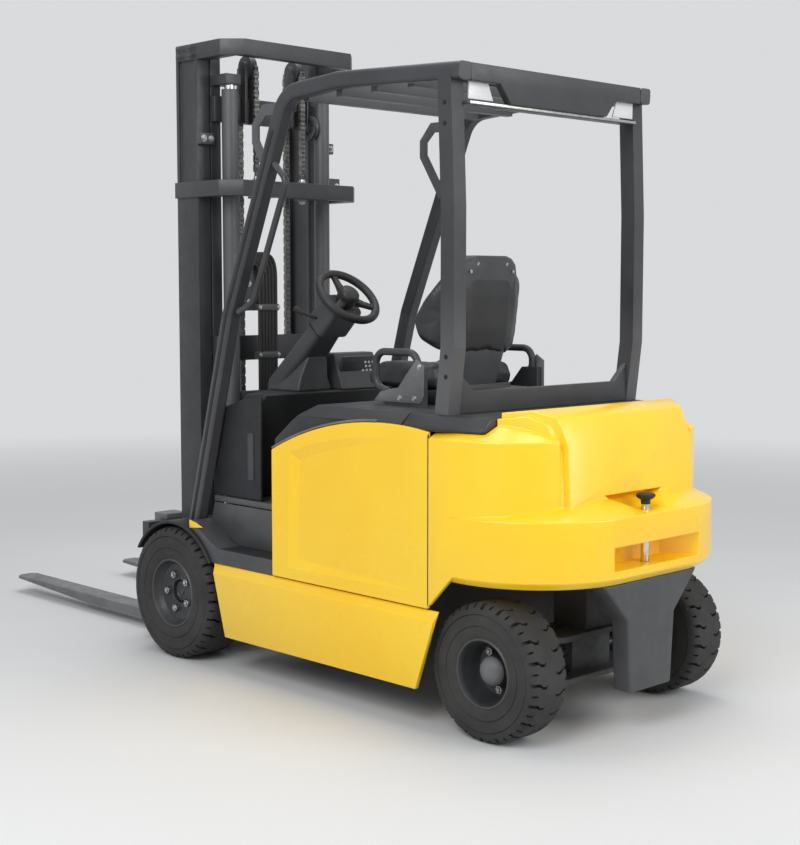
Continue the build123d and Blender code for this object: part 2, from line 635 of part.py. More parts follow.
# Steering knuckles: king pin, body and stub axle
for hand, side in SIDES:
    with BuildPart() as knuckle:
        with BuildSketch(Plane.XY.offset(REAR_WHEEL_Z - KNUCKLE_HEIGHT / 2)):
            with Locations((REAR_AXLE_X, side * KING_PIN_Y)):
                Circle(KNUCKLE_RADIUS)
        extrude(amount=KNUCKLE_HEIGHT)
        with BuildSketch(Plane.XY.offset(REAR_WHEEL_Z)):
            with Locations((REAR_AXLE_X, side * KING_PIN_Y)):
                Circle(KING_PIN_RADIUS)
        extrude(amount=KNUCKLE_HEIGHT / 2 + AXLE_PLATE, both=True)
        with BuildSketch(side_plane(side * KING_PIN_Y)):
            with Locations((REAR_AXLE_X, REAR_WHEEL_Z)):
                Circle(HUB_BORE_RADIUS)
        extrude(amount=-side * (KING_PIN_OFFSET + DISC_OFFSET - MOVE_GAP))
    knuckle.part.label = f"{hand}_knuckle"
    export_step(knuckle.part, f"parts/{hand}_knuckle.step")

# Outer mast: a pair of channel rails with cover plates, U-shaped ties and bearings on the axle
with BuildPart() as outer_mast:
    for hand, side in SIDES:
        with BuildSketch(Plane.XY.offset(RAIL_FOOT_Z)):
            with Locations((RAIL_MIDDLE_X, side * (RAIL_OUTER_Y - RAIL_WIDTH / 2))):
                Rectangle(RAIL_DEPTH, RAIL_WIDTH)
            pocket = RAIL_WIDTH - RAIL_RECESS - RAIL_WEB
            with Locations((RAIL_MIDDLE_X, side * (RAIL_OUTER_Y - RAIL_WIDTH + pocket / 2))):
                Rectangle(RAIL_DEPTH - 2 * RAIL_FLANGE, pocket, mode=Mode.SUBTRACT)
        extrude(amount=RAIL_TOP_Z - RAIL_FOOT_Z)
        with BuildSketch(Plane.XY.offset(MID_TIE_Z)):
            with Locations((RAIL_MIDDLE_X, side * (RAIL_OUTER_Y - RAIL_RECESS / 2))):
                Rectangle(RAIL_DEPTH - 2 * RAIL_FLANGE, RAIL_RECESS)
        extrude(amount=RAIL_TOP_Z - MID_TIE_Z, mode=Mode.SUBTRACT)
        with BuildSketch(side_plane(side * (RAIL_OUTER_Y - MOVE_GAP))):
            with BuildLine():
                Polyline(
                    (RAIL_REAR_X, FRONT_WHEEL_Z - BEARING_FOOT),
                    (RAIL_REAR_X, FRONT_WHEEL_Z + BEARING_FOOT),
                    (FRONT_AXLE_X, FRONT_WHEEL_Z + BEARING_RADIUS),
                    (FRONT_AXLE_X, FRONT_WHEEL_Z - BEARING_RADIUS),
                    close=True,
                )
            make_face()
            with Locations((FRONT_AXLE_X, FRONT_WHEEL_Z)):
                Circle(BEARING_RADIUS)
                Circle(AXLE_TUBE_RADIUS + PIN_GAP, mode=Mode.SUBTRACT)
        extrude(amount=side * BEARING_WIDTH)
        for cheek in (-1, 1):
            cheek_y = TILT_Y + cheek * (TILT_EYE_WIDTH / 2 + TILT_EYE_GAP + TILT_LUG / 2)
            with BuildSketch(side_plane(side * cheek_y)):
                with BuildLine():
                    Polyline(
                        (RAIL_REAR_X, TILT_EYE_Z - TILT_LUG_HALF_HEIGHT),
                        (RAIL_REAR_X, TILT_EYE_Z + TILT_LUG_HALF_HEIGHT),
                        (TILT_EYE_X, TILT_EYE_Z + TILT_EYE_RADIUS),
                        (TILT_EYE_X, TILT_EYE_Z - TILT_EYE_RADIUS),
                        close=True,
                    )
                make_face()
                with Locations((TILT_EYE_X, TILT_EYE_Z)):
                    Circle(TILT_EYE_RADIUS)
            extrude(amount=TILT_LUG / 2, both=True)
        with BuildSketch(side_plane(side * TILT_Y)):
            with Locations((TILT_EYE_X, TILT_EYE_Z)):
                Circle(TILT_PIN_RADIUS)
        extrude(amount=TILT_EYE_WIDTH / 2 + TILT_EYE_GAP + TILT_LUG, both=True)
        with BuildSketch(Plane.XY.offset(LIFT_FOOT_Z)):
            barrel_rear = LIFT_CYLINDER_X - LIFT_BARREL_RADIUS
            barrel_front = LIFT_CYLINDER_X + LIFT_BARREL_RADIUS
            rail_inner = RAIL_OUTER_Y - RAIL_WIDTH
            with BuildLine():
                Polyline(
                    (barrel_rear, side * (LIFT_CYLINDER_Y - LIFT_BARREL_RADIUS)),
                    (barrel_front, side * (LIFT_CYLINDER_Y - LIFT_BARREL_RADIUS)),
                    (barrel_front, side * rail_inner),
                    (RAIL_REAR_X, side * rail_inner),
                    (RAIL_REAR_X, side * (RAIL_OUTER_Y - MOVE_GAP)),
                    (barrel_rear, side * (RAIL_OUTER_Y - MOVE_GAP)),
                    close=True,
                )
            make_face()
        extrude(amount=-LIFT_FOOT_THICKNESS)
        with BuildSketch(side_plane(side * (RAIL_OUTER_Y - RAIL_RECESS))):
            with Locations((RAIL_MIDDLE_X, RAIL_TOP_Z - ROLLER_RADIUS)):
                Circle(ROLLER_RADIUS)
        extrude(amount=side * (RAIL_OUTER_Y - RAIL_RECESS - INNER_OUTER_Y + INNER_POCKET - PIN_GAP))
    for tie_z, tie_height, tie_y in (
        (RAIL_TOP_Z, MAST_TOP_Z - RAIL_TOP_Z, RAIL_OUTER_Y),
        (MID_TIE_Z, MID_TIE_HEIGHT, RAIL_OUTER_Y + RAIL_RECESS),
    ):
        with BuildSketch(Plane.XY.offset(tie_z)) as tie:
            with Locations(((MAST_FRONT_X + TIE_REAR_X) / 2, 0)):
                Rectangle(MAST_FRONT_X - TIE_REAR_X, 2 * tie_y)
            chamfer(tie.vertices().group_by(Axis.X)[0], TIE_CORNER)
            with Locations(((MAST_FRONT_X + TIE_REAR_X + TIE_THICKNESS) / 2, 0)):
                Rectangle(
                    MAST_FRONT_X - TIE_REAR_X - TIE_THICKNESS,
                    2 * (RAIL_OUTER_Y - RAIL_WIDTH),
                    mode=Mode.SUBTRACT,
                )
            if tie_z == MID_TIE_Z:
                for hand, side in SIDES:
                    with Locations((RAIL_MIDDLE_X, side * (RAIL_OUTER_Y - RAIL_WIDTH + pocket / 2))):
                        Rectangle(RAIL_DEPTH - 2 * RAIL_FLANGE, pocket, mode=Mode.SUBTRACT)
        extrude(amount=tie_height)
    for hand, side in SIDES:
        with BuildSketch(Plane.XY.offset(MID_TIE_Z)):
            with Locations(((TIE_REAR_X + TIE_THICKNESS + CHAIN_REAR_X + CHAIN_WIDTH) / 2, side * CHAIN_Y)):
                Rectangle(CHAIN_REAR_X + CHAIN_WIDTH - TIE_REAR_X - TIE_THICKNESS, 2 * CHAIN_WIDTH)
        extrude(amount=MID_TIE_HEIGHT)
        with BuildSketch(Plane.XY.offset(MID_TIE_Z + MID_TIE_HEIGHT)):
            with Locations((CHAIN_REAR_X, side * CHAIN_Y)):
                Circle(CHAIN_ROD_RADIUS)
        extrude(amount=CHAIN_FOOT_Z - MID_TIE_Z - MID_TIE_HEIGHT)
outer_mast.part.label = "outer_mast"
export_step(outer_mast.part, "parts/outer_mast.step")

# Lift cylinders: barrels stand on the outer mast, rods push the inner mast up
with BuildPart() as lift_barrels:
    for hand, side in SIDES:
        with BuildSketch(Plane.XY.offset(LIFT_FOOT_Z)):
            with Locations((LIFT_CYLINDER_X, side * LIFT_CYLINDER_Y)):
                Circle(LIFT_BARREL_RADIUS)
        extrude(amount=LIFT_BARREL_TOP_Z - LIFT_FOOT_Z)
        with BuildSketch(Plane.XY.offset(LIFT_BARREL_TOP_Z)):
            with Locations((LIFT_CYLINDER_X, side * LIFT_CYLINDER_Y)):
                Circle(LIFT_ROD_RADIUS + PIN_GAP)
        extrude(amount=LIFT_FOOT_Z + LIFT_FOOT_THICKNESS - LIFT_BARREL_TOP_Z, mode=Mode.SUBTRACT)
lift_barrels.part.label = "lift_barrels"
export_step(lift_barrels.part, "parts/lift_barrels.step")

with BuildPart() as lift_rods:
    for hand, side in SIDES:
        with BuildSketch(Plane.XY.offset(LIFT_HEAD_Z)):
            with Locations((LIFT_CYLINDER_X, side * LIFT_CYLINDER_Y)):
                Circle(LIFT_ROD_RADIUS)
        extrude(amount=LIFT_FOOT_Z + LIFT_FOOT_THICKNESS + MOVE_GAP - LIFT_HEAD_Z)
lift_rods.part.label = "lift_rods"
export_step(lift_rods.part, "parts/lift_rods.step")

# Inner mast: a pair of I rails with crossbars, rollers, cylinder heads and chain pulleys
with BuildPart() as inner_mast:
    for hand, side in SIDES:
        inner_middle_y = side * (INNER_OUTER_Y - INNER_WIDTH / 2)
        with BuildSketch(Plane.XY.offset(INNER_FOOT_Z)):
            with Locations((RAIL_MIDDLE_X, inner_middle_y)):
                Rectangle(RAIL_DEPTH, INNER_WIDTH)
                Rectangle(RAIL_DEPTH - 2 * RAIL_FLANGE, INNER_WIDTH, mode=Mode.SUBTRACT)
                Rectangle(RAIL_DEPTH, INNER_WEB)
        extrude(amount=INNER_TOP_Z - INNER_FOOT_Z)
        with BuildSketch(side_plane(inner_middle_y)):
            with Locations((RAIL_MIDDLE_X, INNER_FOOT_Z + ROLLER_RADIUS)):
                Circle(ROLLER_RADIUS)
        extrude(amount=-side * (RAIL_OUTER_Y - RAIL_RECESS - RAIL_WEB - PIN_GAP - abs(inner_middle_y)))
        with BuildSketch(Plane.XY.offset(LIFT_HEAD_Z)):
            head_inner_y = LIFT_CYLINDER_Y - LIFT_BARREL_RADIUS
            head_rear_x = LIFT_CYLINDER_X - LIFT_BARREL_RADIUS
            with Locations(((RAIL_REAR_X + head_rear_x) / 2, side * (INNER_OUTER_Y + head_inner_y) / 2)):
                Rectangle(RAIL_REAR_X - head_rear_x, INNER_OUTER_Y - head_inner_y)
        extrude(amount=LIFT_HEAD_HEIGHT)
        for cheek in (-1, 1):
            cheek_y = side * CHAIN_Y + cheek * (PULLEY_WIDTH / 2 + RAIL_WEB / 2)
            with BuildSketch(side_plane(cheek_y)):
                with Locations((PULLEY_X, (CROSSBAR_HEIGHTS[-1] + PULLEY_Z) / 2)):
                    Rectangle(2 * PULLEY_PIN_RADIUS + RAIL_WEB, PULLEY_Z - CROSSBAR_HEIGHTS[-1])
                with Locations((PULLEY_X, PULLEY_Z)):
                    Circle(PULLEY_PIN_RADIUS + RAIL_WEB / 2)
            extrude(amount=RAIL_WEB / 2, both=True)
        with BuildSketch(side_plane(side * CHAIN_Y)):
            with Locations((PULLEY_X, PULLEY_Z)):
                Circle(PULLEY_RADIUS)
        extrude(amount=PULLEY_WIDTH / 2, both=True)
    for bar_z in CROSSBAR_HEIGHTS:
        with BuildSketch(Plane.XY.offset(bar_z)):
            with Locations((RAIL_REAR_X - CROSSBAR_DEPTH / 2, 0)):
                Rectangle(CROSSBAR_DEPTH, 2 * INNER_OUTER_Y)
        extrude(amount=CROSSBAR_HEIGHT)
inner_mast.part.label = "inner_mast"
export_step(inner_mast.part, "parts/inner_mast.step")

# Lift chains: front runs carry the carriage, rear runs hang from the chain rods on the middle tie
with BuildPart() as front_chains:
    for hand, side in SIDES:
        with BuildSketch(Plane.XY.offset(CHAIN_ANCHOR_Z)):
            with Locations((CHAIN_FRONT_X, side * CHAIN_Y)):
                Rectangle(CHAIN_THICKNESS, CHAIN_WIDTH)
        extrude(amount=PULLEY_Z - CHAIN_ANCHOR_Z)
front_chains.part.label = "front_chains"
export_step(front_chains.part, "parts/front_chains.step")

with BuildPart() as rear_chains:
    for hand, side in SIDES:
        with BuildSketch(Plane.XY.offset(CHAIN_FOOT_Z)):
            with Locations((CHAIN_REAR_X, side * CHAIN_Y)):
                Rectangle(CHAIN_THICKNESS, CHAIN_WIDTH)
        extrude(amount=PULLEY_Z - CHAIN_FOOT_Z)
rear_chains.part.label = "rear_chains"
export_step(rear_chains.part, "parts/rear_chains.step")

# Fork carriage: two bars on side plates, with rollers that run in the inner rails
PLATE_OUTER_Y = INNER_OUTER_Y - INNER_WIDTH - CARRIAGE_SIDE_GAP
with BuildPart() as carriage:
    for bar_z in (CARRIAGE_BOTTOM_Z, CARRIAGE_TOP_Z - CARRIAGE_BAR_HEIGHT):
        with BuildSketch(Plane.XY.offset(bar_z)):
            with Locations((FORK_BACK_X - CARRIAGE_BAR_DEPTH / 2, 0)):
                Rectangle(CARRIAGE_BAR_DEPTH, 2 * CARRIAGE_HALF_WIDTH)
        extrude(amount=CARRIAGE_BAR_HEIGHT)
    for hand, side in SIDES:
        with BuildSketch(side_plane(side * PLATE_OUTER_Y)):
            with BuildLine():
                Polyline(
                    (CARRIAGE_REAR_X, CARRIAGE_BOTTOM_Z + MOVE_GAP),
                    (FORK_BACK_X - CARRIAGE_BAR_DEPTH, CARRIAGE_BOTTOM_Z + MOVE_GAP),
                    (FORK_BACK_X - CARRIAGE_BAR_DEPTH, CARRIAGE_TOP_Z),
                    (CARRIAGE_REAR_X, CARRIAGE_TOP_Z),
                    close=True,
                )
            make_face()
        extrude(amount=side * CARRIAGE_PLATE)
        for roller_z in (CARRIAGE_BOTTOM_Z + MOVE_GAP + ROLLER_RADIUS, CARRIAGE_TOP_Z - ROLLER_RADIUS):
            with BuildSketch(side_plane(side * (PLATE_OUTER_Y - CARRIAGE_PLATE))):
                with Locations((RAIL_MIDDLE_X, roller_z)):
                    Circle(ROLLER_RADIUS)
            extrude(amount=-side * (CARRIAGE_PLATE + CARRIAGE_SIDE_GAP + INNER_POCKET - PIN_GAP))
        with BuildSketch(side_plane(side * CARRIAGE_HALF_WIDTH)):
            with Locations((FORK_BACK_X - CARRIAGE_BAR_DEPTH / 2, (CARRIAGE_BOTTOM_Z + CARRIAGE_TOP_Z) / 2)):
                Rectangle(CARRIAGE_BAR_DEPTH, CARRIAGE_TOP_Z - CARRIAGE_BOTTOM_Z)
        extrude(amount=side * CARRIAGE_PLATE)
    with BuildSketch(Plane.XY.offset(CHAIN_ANCHOR_Z)):
        with Locations((CHAIN_FRONT_X + CHAIN_THICKNESS / 2, 0)):
            Rectangle(2 * CHAIN_THICKNESS, 2 * (PLATE_OUTER_Y - CARRIAGE_PLATE))
    extrude(amount=-CARRIAGE_BAR_HEIGHT)
carriage.part.label = "carriage"
export_step(carriage.part, "parts/carriage.step")

# Forks: forged L shapes that hook over the upper carriage bar and taper to the tip
for hand, side in SIDES:
    with BuildPart() as fork:
        heel_z = FORK_TOP_Z - FORK_THICKNESS
        with BuildSketch(side_plane(side * FORK_SPACING)):
            with BuildLine():
                Polyline(
                    (FORK_BACK_X, heel_z),
                    (FORK_TIP_X - FORK_TAPER_LENGTH, heel_z),
                    (FORK_TIP_X, FORK_TOP_Z - FORK_TIP_THICKNESS),
                    (FORK_TIP_X, FORK_TOP_Z),
                    (FORK_FACE_X, FORK_TOP_Z),
                    (FORK_FACE_X, CARRIAGE_TOP_Z + FORK_HOOK),
                    (FORK_BACK_X - CARRIAGE_BAR_DEPTH, CARRIAGE_TOP_Z + FORK_HOOK),
                    (FORK_BACK_X - CARRIAGE_BAR_DEPTH, CARRIAGE_TOP_Z),
                    (FORK_BACK_X, CARRIAGE_TOP_Z),
                    close=True,
                )
            make_face()
        extrude(amount=FORK_WIDTH / 2, both=True)
        tip_edges = fork.edges().filter_by(Axis.Z).group_by(Axis.X)[-1]
        chamfer(tip_edges, FORK_NOSE)
    fork.part.label = f"{hand}_fork"
    export_step(fork.part, f"parts/{hand}_fork.step")

# Tilt cylinders: barrels turn on the frame, rods reach to the pins on the mast
TILT_LENGTH = hypot(TILT_EYE_X - TILT_PIVOT_X, TILT_EYE_Z - TILT_PIVOT_Z)
for hand, side in SIDES:
    along = Plane(
        origin=(TILT_PIVOT_X, side * TILT_Y, TILT_PIVOT_Z),
        x_dir=(0, 1, 0),
        z_dir=(TILT_EYE_X - TILT_PIVOT_X, 0, TILT_EYE_Z - TILT_PIVOT_Z),
    )
    with BuildPart() as tilt_barrel:
        with BuildSketch(along):
            Circle(TILT_BARREL_RADIUS)
        extrude(amount=TILT_BARREL_LENGTH)
        with BuildSketch(along.offset(TILT_EYE_RADIUS + MOVE_GAP)):
            Circle(TILT_ROD_RADIUS + PIN_GAP)
        extrude(amount=TILT_BARREL_LENGTH, mode=Mode.SUBTRACT)
        with BuildSketch(side_plane(side * TILT_Y)):
            with Locations((TILT_PIVOT_X, TILT_PIVOT_Z)):
                Circle(TILT_EYE_RADIUS)
        extrude(amount=TILT_EYE_WIDTH / 2, both=True)
        with BuildSketch(side_plane(side * TILT_Y)):
            with Locations((TILT_PIVOT_X, TILT_PIVOT_Z)):
                Circle(TILT_PIN_RADIUS + PIN_GAP)
        extrude(amount=TILT_BARREL_RADIUS, both=True, mode=Mode.SUBTRACT)
    tilt_barrel.part.label = f"{hand}_tilt_barrel"
    export_step(tilt_barrel.part, f"parts/{hand}_tilt_barrel.step")
    with BuildPart() as tilt_rod:
        with BuildSketch(along.offset(TILT_ROD_START)):
            Circle(TILT_ROD_RADIUS)
        extrude(amount=TILT_LENGTH - TILT_ROD_START)
        with BuildSketch(side_plane(side * TILT_Y)):
            with Locations((TILT_EYE_X, TILT_EYE_Z)):
                Circle(TILT_EYE_RADIUS)
        extrude(amount=TILT_EYE_WIDTH / 2, both=True)
        with BuildSketch(side_plane(side * TILT_Y)):
            with Locations((TILT_EYE_X, TILT_EYE_Z)):
                Circle(TILT_PIN_RADIUS + TILT_EYE_GAP)
        extrude(amount=TILT_EYE_WIDTH, both=True, mode=Mode.SUBTRACT)
    tilt_rod.part.label = f"{hand}_tilt_rod"
    export_step(tilt_rod.part, f"parts/{hand}_tilt_rod.step")

# Chassis frame: bottom plate, side boxes, plates that carry the drive axle, and the rear wall
FRAME_WIDE_X = FRONT_AXLE_X - FRONT_TYRE_DIAMETER / 2 - FRAME_SET_BACK
FRAME_NOSE_X = FRONT_AXLE_X + AXLE_TUBE_RADIUS + FRAME_PLATE
SKIRT_INNER_Y = BODY_HALF_WIDTH - PANEL_THICKNESS
CW_SHELF_PLATE_Z = CW_BOTTOM_Z - BULKHEAD
with BuildPart() as chassis_frame:
    with BuildSketch(Plane.XY.offset(FRAME_BOTTOM_Z)):
        with Locations(((FRAME_WIDE_X + BOX_REAR_X) / 2, 0)):
            Rectangle(FRAME_WIDE_X - BOX_REAR_X, 2 * SKIRT_INNER_Y)
    extrude(amount=FRAME_FLOOR)
    for hand, side in SIDES:
        with BuildSketch(Plane.XY.offset(FRAME_BOTTOM_Z)):
            with Locations(((FRAME_WIDE_X + BOX_REAR_X) / 2, side * (FRAME_BOX_Y + SKIRT_INNER_Y) / 2)):
                Rectangle(FRAME_WIDE_X - BOX_REAR_X, SKIRT_INNER_Y - FRAME_BOX_Y)
        extrude(amount=SKIRT_TOP_Z - FRAME_BOTTOM_Z)
        with BuildSketch(side_plane(side * FRAME_PLATE_Y)):
            with BuildLine():
                Polyline(
                    (FRAME_NOSE_X, FRONT_WHEEL_Z - AXLE_TUBE_RADIUS - FRAME_PLATE),
                    (FRAME_NOSE_X, FRONT_WHEEL_Z + AXLE_TUBE_RADIUS + FRAME_PLATE),
                    (FRAME_WIDE_X, SKIRT_TOP_Z),
                    (TILT_PIVOT_X - TILT_EYE_RADIUS, SKIRT_TOP_Z),
                    (TILT_PIVOT_X - TILT_EYE_RADIUS, FRAME_BOTTOM_Z),
                    (FRAME_WIDE_X, FRAME_BOTTOM_Z),
                    close=True,
                )
            make_face()
            with Locations((FRONT_AXLE_X, FRONT_WHEEL_Z)):
                Circle(AXLE_TUBE_RADIUS + PIN_GAP, mode=Mode.SUBTRACT)
        extrude(amount=-side * FRAME_PLATE)
        with BuildSketch(side_plane(side * FRAME_PLATE_Y)):
            with Locations((FRONT_AXLE_X, FRONT_WHEEL_Z)):
                Circle(FENDER_RADIUS)
            with Locations((FRONT_AXLE_X, FRONT_WHEEL_Z + AXLE_TUBE_RADIUS + PIN_GAP - 2 * FENDER_RADIUS)):
                Rectangle(4 * FENDER_RADIUS, 4 * FENDER_RADIUS, mode=Mode.SUBTRACT)
        extrude(amount=-side * FRAME_PLATE)
        with BuildSketch(side_plane(side * FRAME_PLATE_Y)):
            with Locations((TILT_PIVOT_X, TILT_PIVOT_Z)):
                Circle(TILT_PIN_RADIUS)
        extrude(amount=side * (FRAME_PLATE_Y - TILT_Y + TILT_EYE_WIDTH / 2))
    with BuildSketch(Plane.XY.offset(FRAME_BOTTOM_Z)):
        with Locations((BOX_REAR_X + BULKHEAD / 2, 0)):
            Rectangle(BULKHEAD, 2 * FRAME_BOX_Y)
    extrude(amount=PANEL_REAR_TOP_Z - SEAM_GAP - FRAME_BOTTOM_Z)
    with BuildSketch(Plane.XY.offset(CW_SHELF_PLATE_Z)):
        with Locations(((BOX_REAR_X + SEAM_X) / 2, 0)):
            Rectangle(BOX_REAR_X - SEAM_X, 2 * SKIRT_INNER_Y)
    extrude(amount=BULKHEAD)
    with BuildSketch(Plane.XY.offset(FRAME_BOTTOM_Z)):
        with Locations((FRAME_WIDE_X - FRAME_PLATE, 0)):
            Rectangle(2 * FRAME_PLATE, 2 * (TILT_Y - TILT_BARREL_RADIUS - FRAME_PLATE))
    extrude(amount=FLOOR_Z - FLOOR_THICKNESS - FRAME_BOTTOM_Z)
chassis_frame.part.label = "chassis_frame"
export_step(chassis_frame.part, "parts/chassis_frame.step")

# Battery: one plain block between the side boxes
with BuildPart() as battery:
    with BuildSketch(Plane.XY.offset(FRAME_BOTTOM_Z + FRAME_FLOOR)):
        with Locations(((PANEL_FRONT_X - FRAME_PLATE + BOX_REAR_X + BULKHEAD) / 2, 0)):
            Rectangle(
                PANEL_FRONT_X - FRAME_PLATE - BOX_REAR_X - BULKHEAD - 2 * MOVE_GAP,
                2 * (FRAME_BOX_Y - MOVE_GAP),
            )
    extrude(amount=PANEL_FRONT_TOP_Z - FRAME_BOTTOM_Z - FRAME_FLOOR - 2 * MOVE_GAP)
battery.part.label = "battery"
export_step(battery.part, "parts/battery.step")

# Skirts and side panels: yellow plates along the body
for hand, side in SIDES:
    with BuildPart() as skirt:
        with BuildSketch(side_plane(side * SKIRT_INNER_Y)):
            with BuildLine():
                Polyline(
                    (SKIRT_FRONT_TOP_X, SKIRT_TOP_Z),
                    (SKIRT_FRONT_FOOT_X, SKIRT_BOTTOM_Z),
                    (SKIRT_REAR_FOOT_X, SKIRT_BOTTOM_Z),
                    (SKIRT_REAR_TOP_X, SKIRT_TOP_Z),
                    close=True,
                )
            make_face()
        extrude(amount=-side * PANEL_THICKNESS)
    skirt.part.label = f"{hand}_skirt"
    export_step(skirt.part, f"parts/{hand}_skirt.step")

    with BuildPart() as side_panel:
        with BuildSketch(side_plane(side * SKIRT_INNER_Y)):
            with BuildLine():
                Polyline(
                    (PANEL_FRONT_X, PANEL_FRONT_TOP_Z),
                    (PANEL_FRONT_X, PANEL_BOTTOM_Z),
                    (SEAM_X + SEAM_GAP, PANEL_BOTTOM_Z),
                    (SEAM_X + SEAM_GAP, PANEL_REAR_TOP_Z),
                    (COVER_SEAM_X, PANEL_REAR_TOP_Z),
                )
                ThreePointArc(
                    (COVER_SEAM_X, PANEL_REAR_TOP_Z),
                    (PANEL_ARC_X, PANEL_ARC_Z),
                    (PANEL_FRONT_X, PANEL_FRONT_TOP_Z),
                )
            make_face()
        extrude(amount=-side * PANEL_THICKNESS)
        with BuildPart(mode=Mode.PRIVATE) as recess:
            with BuildSketch(side_plane(side * BODY_HALF_WIDTH)):
                with BuildLine():
                    Polyline(
                        (RECESS_FRONT_X, RECESS_FRONT_TOP_Z),
                        (RECESS_FRONT_X, RECESS_FRONT_FOOT_Z),
                        (RECESS_FOOT_X, RECESS_FOOT_Z),
                        (RECESS_REAR_X, RECESS_FOOT_Z),
                        (RECESS_REAR_X, RECESS_TOP_Z),
                    )
                    ThreePointArc(
                        (RECESS_REAR_X, RECESS_TOP_Z),
                        (RECESS_ARC_X, RECESS_ARC_Z),
                        (RECESS_FRONT_X, RECESS_FRONT_TOP_Z),
                    )
                make_face()
            extrude(amount=side * RECESS_DEPTH)
            with BuildSketch(Plane.XY.offset(PANEL_BOTTOM_Z)):
                with BuildLine():
                    Polyline(
                        (RECESS_FRONT_X, side * BODY_HALF_WIDTH),
                        (RECESS_FRONT_X - RECESS_BEVEL, side * (BODY_HALF_WIDTH - RECESS_DEPTH)),
                        (RECESS_REAR_X, side * BODY_HALF_WIDTH),
                        close=True,
                    )
                make_face()
            extrude(amount=PANEL_REAR_TOP_Z - PANEL_BOTTOM_Z, mode=Mode.INTERSECT)
        add(recess.part, mode=Mode.SUBTRACT)
    side_panel.part.label = f"{hand}_side_panel"
    export_step(side_panel.part, f"parts/{hand}_side_panel.step")

